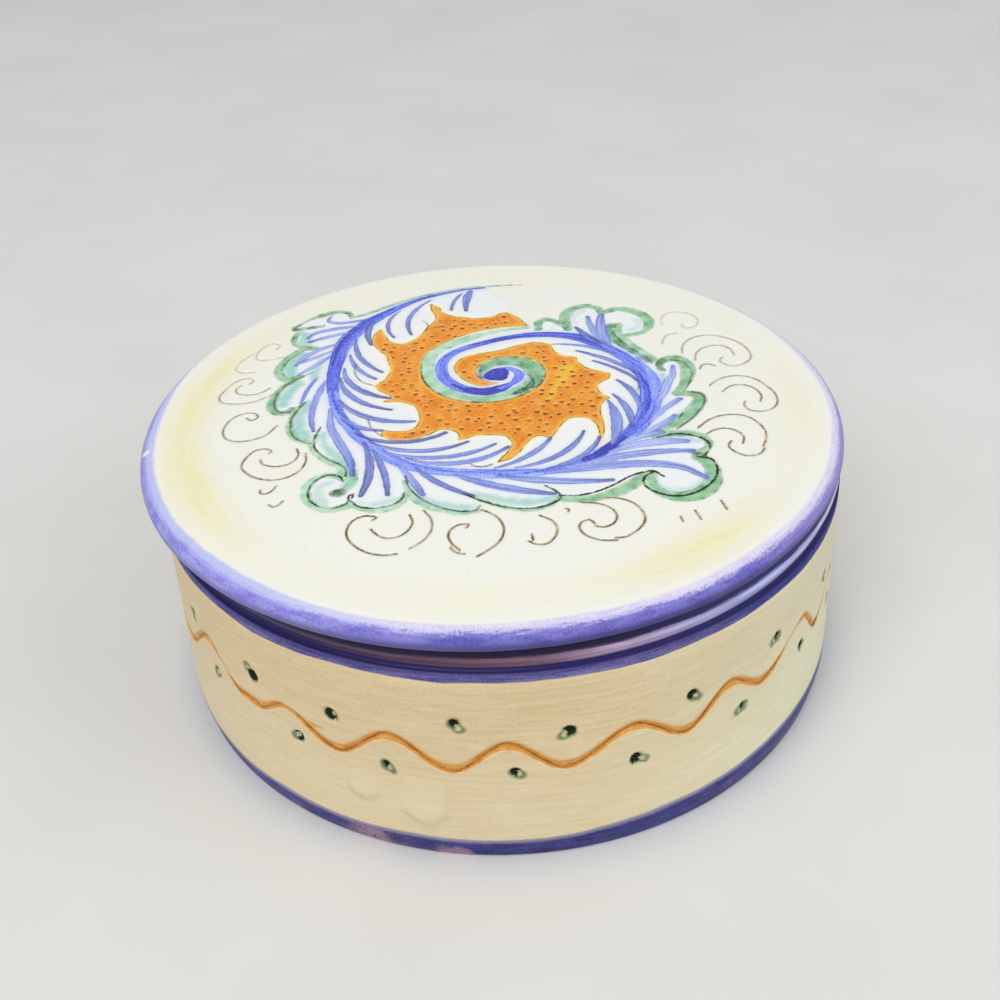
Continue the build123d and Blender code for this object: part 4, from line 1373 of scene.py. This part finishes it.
def lid_material():
    s = Shader("lid_glaze", lid_axis)
    wobble = s.noise(1.6, detail=3)
    fine = s.noise(0.45, detail=3, shift=3.0)
    broad = s.noise(14, detail=3, shift=9.0)
    patchy = s.noise(2.6, detail=2, shift=12.0)
    edge = s.field("edge")

    # off-white ground with its yellow wash, brushed on round the lid
    tint = s.between(broad, 0.2, colour(241, 242, 235), colour(243, 242, 232))
    sweep = s.add(s.streaks(18, 1.4, edge), s.times(wobble, 0.5))
    tint = s.mix(s.times(s.field("wash"), s.step(sweep, -0.7, 0.4)), tint, colour(241, 229, 154))
    specks = s.step(s.noise(0.8, detail=1, shift=15.0), 0.24, 0.3)
    tint = s.mix(s.times(specks, 0.2), tint, colour(150, 130, 100))

    # the leaf's cool white, with a green breath round it
    leaf = s.add(s.field("leaf"), wobble)
    tint = s.mix(s.times(s.step(leaf, -2.4, 0.0), 0.4), tint, colour(222, 238, 218))
    white = s.between(broad, 0.2, colour(230, 238, 251), colour(238, 243, 247))
    white = s.mix(s.step(s.field("orange"), -3.2, -0.6), white, colour(247, 246, 236))
    tint = s.mix(s.step(leaf, -0.4, 0.6), tint, white)

    # the orange ground, with yellow streaks, a yellow fringe and a thin brown outline
    orange_depth = s.add(s.field("orange"), s.times(wobble, 0.4))
    brushed = s.add(s.noise(2.4, stretch=(1, 2.2, 1), detail=4, shift=2.0), s.times(fine, 1.1))
    orange = s.shades(s.add(brushed, 0.5), [
        (0.2, colour(216, 122, 24)), (0.42, colour(237, 143, 38)), (0.6, colour(243, 156, 52)),
        (0.85, colour(248, 184, 84))])
    frayed = s.add(s.field("yellow"), s.times(s.add(wobble, fine), 3.0))
    yellow = s.times(s.step(frayed, -0.9, 1.5), s.field("yellow_tone"))
    orange = s.mix(s.times(yellow, 0.75), orange, colour(243, 202, 64))
    tint = s.mix(s.times(s.step(orange_depth, -0.9, -0.1), 0.75), tint, colour(245, 230, 150))
    orange = s.mix(s.times(s.step(orange_depth, 1.0, 0.2), 0.55), orange, colour(250, 204, 94))
    tint = s.mix(s.step(orange_depth, -0.1, 0.1), tint, orange)
    outline = s.step(s.math("ABSOLUTE", s.add(s.add(orange_depth, 0.08), s.times(fine, 0.3))), 0.2, 0.06)
    tint = s.mix(s.times(outline, s.step(patchy, -0.25, 0.15)), tint, colour(112, 70, 30))

    # teal washes, then the green border and spiral, thin enough to see through
    teal = s.times(s.step(s.add(s.field("teal"), s.times(wobble, 1.6)), -0.9, 0.8), s.field("teal_tone"))
    tint = s.mix(teal, tint, s.between(patchy, 0.15, colour(150, 206, 206), colour(170, 216, 202)))
    green_depth = s.add(s.field("green"), s.times(wobble, 0.7))
    pooled = s.times(s.step(s.field("green_own"), 0.4, 0.05), 0.26)
    green_tone = s.add(s.add(s.field("green_tone"), pooled), s.add(s.times(patchy, 1.1), s.times(fine, 0.6)))
    green = s.shades(green_tone, [
        (0.0, colour(190, 230, 204)), (0.3, colour(158, 207, 168)), (0.55, colour(130, 186, 140)),
        (0.8, colour(88, 146, 104)), (1.0, colour(42, 82, 56))])
    thin = s.times(s.step(green_depth, -0.35, 0.15), 0.5)
    cover = s.add(thin, s.times(s.step(s.add(green_depth, s.times(patchy, 1.6)), -0.2, 0.7), 0.45))
    tint = s.mix(cover, tint, green)

    # blue brush strokes, each with a faint blue breath round it: the stem, and over it the greyer veins
    for name, reach, strength in (("stem", 1.9, 0.3), ("vein", 0.9, 0.22)):
        tint = s.mix(s.times(s.step(s.field(name), -reach, 0.1), strength), tint, colour(172, 192, 244))
    for name, streaky, pooling, grain, cover, stops in (
        ("stem", 1.1, 0.12, 0.9, 0.96, [
            (0.1, colour(184, 204, 246)), (0.4, colour(149, 171, 250)), (0.62, colour(116, 137, 248)),
            (0.85, colour(73, 87, 224)), (1.0, colour(42, 48, 172))]),
        ("vein", 1.1, 0.22, 0.5, 0.9, [
            (0.15, colour(190, 204, 245)), (0.4, colour(150, 168, 238)), (0.6, colour(114, 131, 218)),
            (0.8, colour(88, 100, 172)), (1.0, colour(58, 66, 124))]),
    ):
        place = s.vector(s.times(s.field(name + "_along"), 0.1), s.times(s.field(name + "_across"), 1.7))
        hairs = s.noise_at(place, STREAK_DETAIL)
        rim = s.times(s.step(s.field(name + "_own"), 0.4, 0.0), pooling)
        grained = s.add(s.times(hairs, streaky), s.times(fine, grain))
        tone = s.add(s.add(s.field(name + "_tone"), rim), grained)
        depth = s.add(s.field(name), s.times(wobble, 0.4))
        tint = s.mix(s.times(s.step(depth, -0.12, 0.16), cover), tint, s.shades(tone, stops))

    # scratched lines, rough and uneven, and punched dots
    rough = s.times(fine, 0.45)
    uneven = s.step(patchy, -0.4, 0.15)
    scratch = s.step(s.add(s.field("scratch"), rough), -0.1, 0.12)
    tint = s.mix(s.times(s.times(scratch, uneven), s.field("scratch_tone")), tint, colour(52, 52, 30))
    # a tan fringe along the curls, partly a painted highlight standing for their raised burr
    fringe = s.times(s.step(s.field("curl"), -0.35, 0.1), s.field("curl_tone"))
    tint = s.mix(s.times(fringe, 0.5), tint, colour(216, 192, 142))
    curl = s.times(s.step(s.add(s.field("curl"), rough), -0.08, 0.12), s.field("curl_tone"))
    tint = s.mix(s.times(curl, uneven), tint, colour(106, 92, 60))
    pit = s.step(s.add(s.field("pit"), s.times(fine, 0.3)), -0.3, 0.0)
    tint = s.mix(s.times(pit, 0.45), tint, colour(250, 196, 112))
    # the dark core of each pit: painted shade, towards its far side
    core = s.step(s.add(s.field("pit_core"), s.times(fine, 0.5)), -0.02, 0.22)
    core_shade_cover = s.add(0.55, s.times(s.step(s.noise(4, shift=5.0), -0.2, 0.2), 0.35))
    tint = s.mix(s.times(core, core_shade_cover), tint, colour(112, 56, 16))

    # the violet-blue edge: pale and streaked by the brush, then violet, then painted shade, with a painted
    # shadow in the gap below
    left = s.step(s.axis("X"), -5.0, -50.0)
    right = s.step(s.axis("X"), 40.0, 58.0)
    far = s.step(s.axis("Y"), 0.0, 45.0)
    hair = s.add(s.times(s.streaks(4, 0.45, edge, shift=6.0), 0.8), s.times(fine, 1.0))
    start = s.add(edge, s.times(s.streaks(22, 5, edge, shift=4.0), 1.6))
    drop = s.add(-1.5, s.times(s.axis("X"), 0.018))
    start = s.add(start, s.add(s.times(far, drop), s.times(left, 0.4)))
    pale = s.between(hair, 0.25, colour(204, 197, 234), colour(232, 228, 243))
    # to the left both the pale and the violet are lighter: painted sheen
    pale = s.mix(s.times(left, 0.7), pale, colour(178, 190, 243))
    mottle = s.add(s.streaks(5, 1.8, edge, shift=8.0), s.times(fine, 0.9))
    violet = s.between(mottle, 0.3, colour(90, 84, 176), colour(134, 127, 208))
    light = s.between(mottle, 0.25, colour(138, 132, 224), colour(178, 176, 242))
    violet = s.mix(s.times(left, 0.8), violet, light)
    rosy = s.mix(s.step(mottle, -0.1, 0.2), colour(150, 146, 212), colour(178, 144, 212))
    violet = s.mix(s.times(right, 0.7), violet, rosy)
    tint = s.mix(s.step(s.add(start, s.times(hair, 0.9)), *EDGE_PALE), tint, pale)
    tint = s.mix(s.step(s.add(start, s.times(hair, 2.2)), *EDGE_VIOLET), tint, violet)
    # painted shade on the edge's lower side, lighter to the left and darker to the right
    shade = s.shades(s.across(), [
        (0.1, colour(112, 112, 172)), (0.35, colour(86, 84, 142)), (0.5, colour(70, 67, 130)),
        (0.65, colour(48, 46, 114)), (0.85, colour(40, 41, 112)), (1.0, colour(62, 59, 130))])
    tint = s.mix(s.times(s.step(s.add(edge, s.times(hair, 0.6)), *EDGE_SHADE), 0.85), tint, shade)
    # the gap under the edge, painted dark as its shadow, bluer to the right
    gap = s.mix(s.step(s.axis("X"), 5.0, 40.0), colour(34, 26, 54), colour(58, 58, 122))
    tint = s.mix(s.step(edge, *EDGE_GAP), tint, gap)

    # a chip in the edge's glaze
    spread = 0.0
    for axis, place in zip("XYZ", CHIP_PLACE):
        away = s.math("SUBTRACT", s.axis(axis), place)
        spread = s.add(spread, s.times(away, away))
    chip = s.step(s.add(s.math("SQRT", spread), s.times(fine, 0.8)), CHIP_RADIUS + CHIP_SOFTNESS,
                  CHIP_RADIUS - CHIP_SOFTNESS)
    tint = s.mix(chip, tint, colour(242, 233, 238))

    # bare clay where the lid sits on the rim, and plain glaze underneath
    under = s.step(s.add(edge, s.times(wobble, 1.5)), *EDGE_CLAY)
    tint = s.mix(under, tint, s.clay(colour(208, 170, 140), colour(220, 190, 162)))
    glazed = s.step(s.add(edge, s.times(wobble, 2.0)), *EDGE_LINING)
    tint = s.mix(glazed, tint, s.between(broad, 0.2, colour(238, 234, 220), colour(232, 226, 208)))
    bare = s.times(under, s.math("SUBTRACT", 1.0, glazed))

    rougher = s.times(s.math("MAXIMUM", bare, core), CLAY_ROUGHER)
    roughness = s.add(s.add(LID_ROUGHNESS, s.times(fine, 0.12)), rougher)
    relief = s.add(s.times(s.noise(2.4, detail=4), 0.5), s.times(fine, s.add(0.15, s.times(bare, 0.5))))
    return s.finish(tint, roughness, relief, GLAZE_RELIEF)


def base_material():
    s = Shader("base_glaze", 0.0)
    height = s.axis("Z")
    right = s.step(s.axis("X"), 5.0, 60.0)
    wobble = s.noise(1.8, detail=3)
    fine = s.noise(0.45, detail=3, shift=3.0)
    brushed = s.streaks(13, 0.8, height, shift=2.0)
    hairs = s.streaks(5, 0.24, height, shift=7.0)
    broad = s.noise(22, stretch=(1.4, 1.4, 0.7), detail=3, shift=5.0)

    # cream wall, brushed on round the pot, greyer to the right and paler towards the foot
    streak = s.add(s.times(s.add(brushed, hairs), 0.6), s.times(s.add(broad, fine), 0.5))
    streak = s.step(streak, -0.35, 0.35)
    low = s.step(height, 36.0, 12.0)
    warm = s.mix(low, s.mix(streak, colour(209, 186, 142), colour(227, 207, 167)),
                 s.mix(streak, colour(218, 200, 160), colour(232, 216, 180)))
    cool = s.mix(low, s.mix(streak, colour(212, 204, 168), colour(227, 219, 188)),
                 s.mix(streak, colour(223, 220, 184), colour(237, 234, 203)))
    tint = s.mix(right, warm, cool)
    bloom = s.step(s.noise(5, stretch=(1.7, 1.7, 0.6), detail=4, shift=14.0), 0.1, 0.35)
    tint = s.mix(s.times(bloom, 0.6), tint, colour(234, 223, 196))
    specks = s.step(s.noise(0.9, detail=1, shift=11.0), 0.2, 0.28)
    tint = s.mix(s.times(specks, 0.35), tint, colour(236, 228, 204))

    # drips of slip, paler than the wall and shaded under their round ends
    tint = s.mix(s.times(s.field("drip"), 0.35), tint, colour(232, 219, 188))
    under_end = s.times(s.field("drip_shade"), s.step(wobble, -0.5, 0.3))
    tint = s.mix(s.times(under_end, 0.36), tint, colour(160, 138, 106))

    # the wavy groove: amber, dark along its deepest line, with a pale lip below, a painted highlight on its
    # raised burr
    cut = s.add(s.field("cut"), s.times(fine, 0.3))
    stain = s.step(s.add(cut, s.times(wobble, 0.8)), -0.8, 0.1)
    tint = s.mix(s.times(stain, 0.5), tint, colour(212, 168, 106))
    tint = s.mix(s.times(s.field("lip"), s.step(wobble, -0.25, 0.25)), tint, colour(238, 224, 190))
    groove = s.times(s.step(cut, -0.08, 0.12), s.step(s.field("press"), 0.1, 0.65))
    amber = s.between(s.add(wobble, fine), 0.3, colour(210, 142, 58), colour(230, 172, 88))
    deep = s.step(s.add(s.field("valley"), s.times(wobble, 0.6)), 0.75, 0.1)
    tint = s.mix(groove, tint, s.mix(s.times(deep, 0.5), amber, colour(180, 110, 36)))
    dark = s.step(s.add(s.field("valley"), s.times(fine, 0.4)), 0.24, 0.06)
    broken = s.step(s.noise(6, shift=13.0), -0.2, 0.2)
    tint = s.mix(s.times(s.times(dark, groove), broken), tint, colour(122, 62, 14))

    # punched dots: a dark hole, partly painted shade, a painted glint beside it, and a tail of green glaze
    halo = s.step(s.add(s.field("tail"), s.times(wobble, 1.6)), -0.45, 0.3)
    green = s.between(wobble, 0.2, colour(34, 76, 52), colour(88, 132, 98))
    tint = s.mix(s.times(halo, 0.8), tint, green)
    dot = s.step(s.add(s.field("dot"), s.add(s.times(wobble, 1.2), s.times(fine, 0.7))), 0.15, 0.5)
    tint = s.mix(dot, tint, colour(22, 27, 8))
    glint = s.step(s.add(s.field("glint"), s.add(s.times(wobble, 0.8), s.times(fine, 0.9))), 0.0, 0.3)
    tint = s.mix(s.times(glint, 0.85), tint, colour(204, 202, 158))

    # the blue bands under the rim and along the foot, streaked, and rubbed pink in places
    wander = s.times(s.streaks(20, 9, height, shift=4.0), 1.6)
    hair = s.add(s.streaks(7, 0.4, height, shift=8.0), s.times(fine, 0.25))
    blue = s.step(s.axis("X"), 32.0, 46.0)
    band = s.mix(s.step(s.add(hair, s.times(fine, 0.5)), -0.3, 0.3),
                 s.mix(blue, colour(67, 60, 126), colour(38, 44, 116)),
                 s.mix(blue, colour(123, 118, 170), colour(76, 84, 154)))
    # the band darkens towards the top, under the lid's edge: painted shade
    band = s.mix(s.times(s.step(height, *UPPER_BAND_SHADED), 0.6), band, colour(53, 43, 110))
    outer = s.add(height, s.add(wander, s.times(fine, 0.3)))
    upper = s.step(outer, *UPPER_BAND)
    tint = s.mix(upper, tint, band)
    blotch = s.noise(3, detail=4, shift=1.0)
    foot_hair = s.add(s.add(hair, s.times(fine, 0.5)), s.times(blotch, 0.8))
    foot_band = s.between(foot_hair, 0.4, colour(12, 12, 84), colour(66, 64, 150))
    foot_edge = s.add(outer, s.times(s.step(s.axis("X"), -10.0, 65.0), -FOOT_BAND_GAIN))
    tint = s.mix(s.times(s.step(foot_edge, *FOOT_HAZE), 0.75), tint, colour(112, 114, 164))
    lower = s.step(foot_edge, *FOOT_BAND)
    tint = s.mix(lower, tint, foot_band)
    uneven = s.add(1.0, s.add(s.times(blotch, 2.2), s.times(fine, 1.6)))
    rubbed = s.times(s.step(s.times(s.field("worn"), uneven), 0.2, 0.9), s.math("MAXIMUM", upper, lower))
    tint = s.mix(s.times(rubbed, 0.8), tint, colour(170, 132, 156))

    # the moulding: a dark groove, a bead that pales to the right, the lid's painted shadow, and a violet rim
    hollow = s.step(s.add(height, s.times(hair, 0.3)), *GROOVE_DARK)
    tint = s.mix(s.times(hollow, 0.95), tint, colour(26, 18, 84))
    # the bead's dark left and pale lilac right are partly painted shade and painted highlight
    bead = s.shades(s.across(), [
        (0.05, colour(72, 66, 134)), (0.22, colour(60, 52, 92)), (0.37, colour(104, 77, 97)),
        (0.46, colour(122, 88, 100)), (0.54, colour(150, 112, 132)), (0.63, colour(201, 175, 209)),
        (0.78, colour(196, 202, 255)), (1.0, colour(210, 210, 255))])
    rub = s.add(s.times(s.step(s.streaks(9, 1.2, height, shift=6.0), -0.15, 0.15), 0.3), 0.7)
    tint = s.mix(s.times(s.step(height, *BEAD_LIGHT), rub), tint, bead)
    shadow = s.add(LID_SHADOW, s.times(s.axis("X"), LID_SHADOW_SLANT))
    above = s.math("SUBTRACT", height, shadow)
    shaded = s.mix(right, colour(34, 24, 62), colour(52, 54, 118))
    tint = s.mix(s.step(s.add(above, s.times(hair, 0.8)), -0.4, 0.25), tint, shaded)
    tint = s.mix(s.step(s.add(height, s.times(hair, 0.5)), *RIM_LINE), tint, colour(84, 78, 152))

    # bare clay on the rim and under the foot, plain glaze inside
    inside = s.add(s.field("inside"), s.times(wobble, 1.2))
    seat = s.step(inside, *SEAT_CLAY)
    foot = s.step(s.add(s.field("bare"), s.times(wobble, 2.0)), 0.4, 1.2)
    bare = s.math("MAXIMUM", seat, foot)
    tint = s.mix(bare, tint, s.clay(colour(208, 168, 138), colour(222, 190, 162)))
    lining = s.step(inside, *SEAT_LINING)
    rings = s.streaks(30, 2.2, s.field("inside"), shift=9.0)
    tint = s.mix(lining, tint, s.between(rings, 0.3, colour(230, 223, 204), colour(240, 236, 224)))
    outside = s.math("SUBTRACT", 1.0, lining)
    bare = s.times(bare, outside)

    worked = s.add(s.times(s.add(brushed, hairs), outside), s.times(rings, lining))
    rougher = s.times(s.math("MAXIMUM", bare, dot), CLAY_ROUGHER)
    roughness = s.add(s.add(POT_ROUGHNESS, s.times(worked, 0.1)), rougher)
    relief = s.add(s.times(worked, 0.2), s.times(fine, s.add(0.2, s.times(bare, 0.5))))
    return s.finish(tint, roughness, relief, GLAZE_RELIEF)


def floor_material():
    s = Shader("pale_floor", 0.0)
    soft = s.noise(60, detail=3)
    tint = s.between(soft, 0.3, colour(222, 222, 220), colour(228, 228, 226))
    return s.finish(tint, FLOOR_ROUGHNESS, soft, FLOOR_RELIEF)


# Pieces on the frame

lid = make_lid()
lid.data.materials.append(lid_material())
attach(lid, "lid")
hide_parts("lid")

base = make_base()
base.data.materials.append(base_material())
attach(base, "base")
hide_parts("base")

# A pale floor and soft studio light

FLOOR_HALF = 6.0
floor_mesh = bpy.data.meshes.new("floor")
floor_corners = [(x * FLOOR_HALF, y * FLOOR_HALF, 0) for x, y in ((-1, -1), (1, -1), (1, 1), (-1, 1))]
floor_mesh.from_pydata(floor_corners, [], [(0, 1, 2, 3)])
floor_mesh.materials.append(floor_material())
floor = bpy.data.objects.new("floor", floor_mesh)
bpy.context.scene.collection.objects.link(floor)

SKY_STRENGTH = 0.565
world = bpy.data.worlds.new("studio")
world.use_nodes = True
sky = world.node_tree.nodes["Background"]
sky.inputs["Color"].default_value = (1, 1, 1, 1)
sky.inputs["Strength"].default_value = SKY_STRENGTH
bpy.context.scene.world = world


def soft_lamp(name, place, size, power):
    lamp = bpy.data.lights.new(name, "AREA")
    lamp.size = size
    lamp.energy = power
    obj = bpy.data.objects.new(name, lamp)
    obj.location = place
    obj.rotation_euler = (-Vector(place)).to_track_quat("-Z", "Y").to_euler()
    bpy.context.scene.collection.objects.link(obj)


# Each lamp's name, place and size in metres, and power in watts
LAMPS = [("key", (-0.35, -0.75, 1.1), 0.9, 8.5), ("fill", (0.9, -0.4, 0.8), 0.8, 2.8)]
for described in LAMPS:
    soft_lamp(*described)

# The camera, fitted to the photograph's outlines

CAMERA_TARGET = Vector((-0.41, 0, 31.96)) * MM
CAMERA_DISTANCE = 276.5 * MM
CAMERA_PITCH = 0.6087
CAMERA_ROLL = -0.0525
CAMERA_LENS = 46.85           # in millimetres, like the sensor
CAMERA_SENSOR = 36
CAMERA_NEAREST = 0.01

ahead = Vector((0, math.cos(CAMERA_PITCH), -math.sin(CAMERA_PITCH)))
level = Vector((1, 0, 0))
upward = level.cross(ahead)
rightward = level * math.cos(CAMERA_ROLL) + upward * math.sin(CAMERA_ROLL)
upward = rightward.cross(ahead)
camera_data = bpy.data.cameras.new("camera")
camera_data.lens = CAMERA_LENS
camera_data.sensor_width = CAMERA_SENSOR
camera_data.clip_start = CAMERA_NEAREST
camera = bpy.data.objects.new("camera", camera_data)
camera.matrix_world = Matrix.Translation(CAMERA_TARGET - ahead * CAMERA_DISTANCE) @ Matrix(
    (rightward, upward, -ahead)).transposed().to_4x4()
bpy.context.scene.collection.objects.link(camera)
bpy.context.scene.camera = camera
bpy.context.scene.view_settings.view_transform = "Standard"
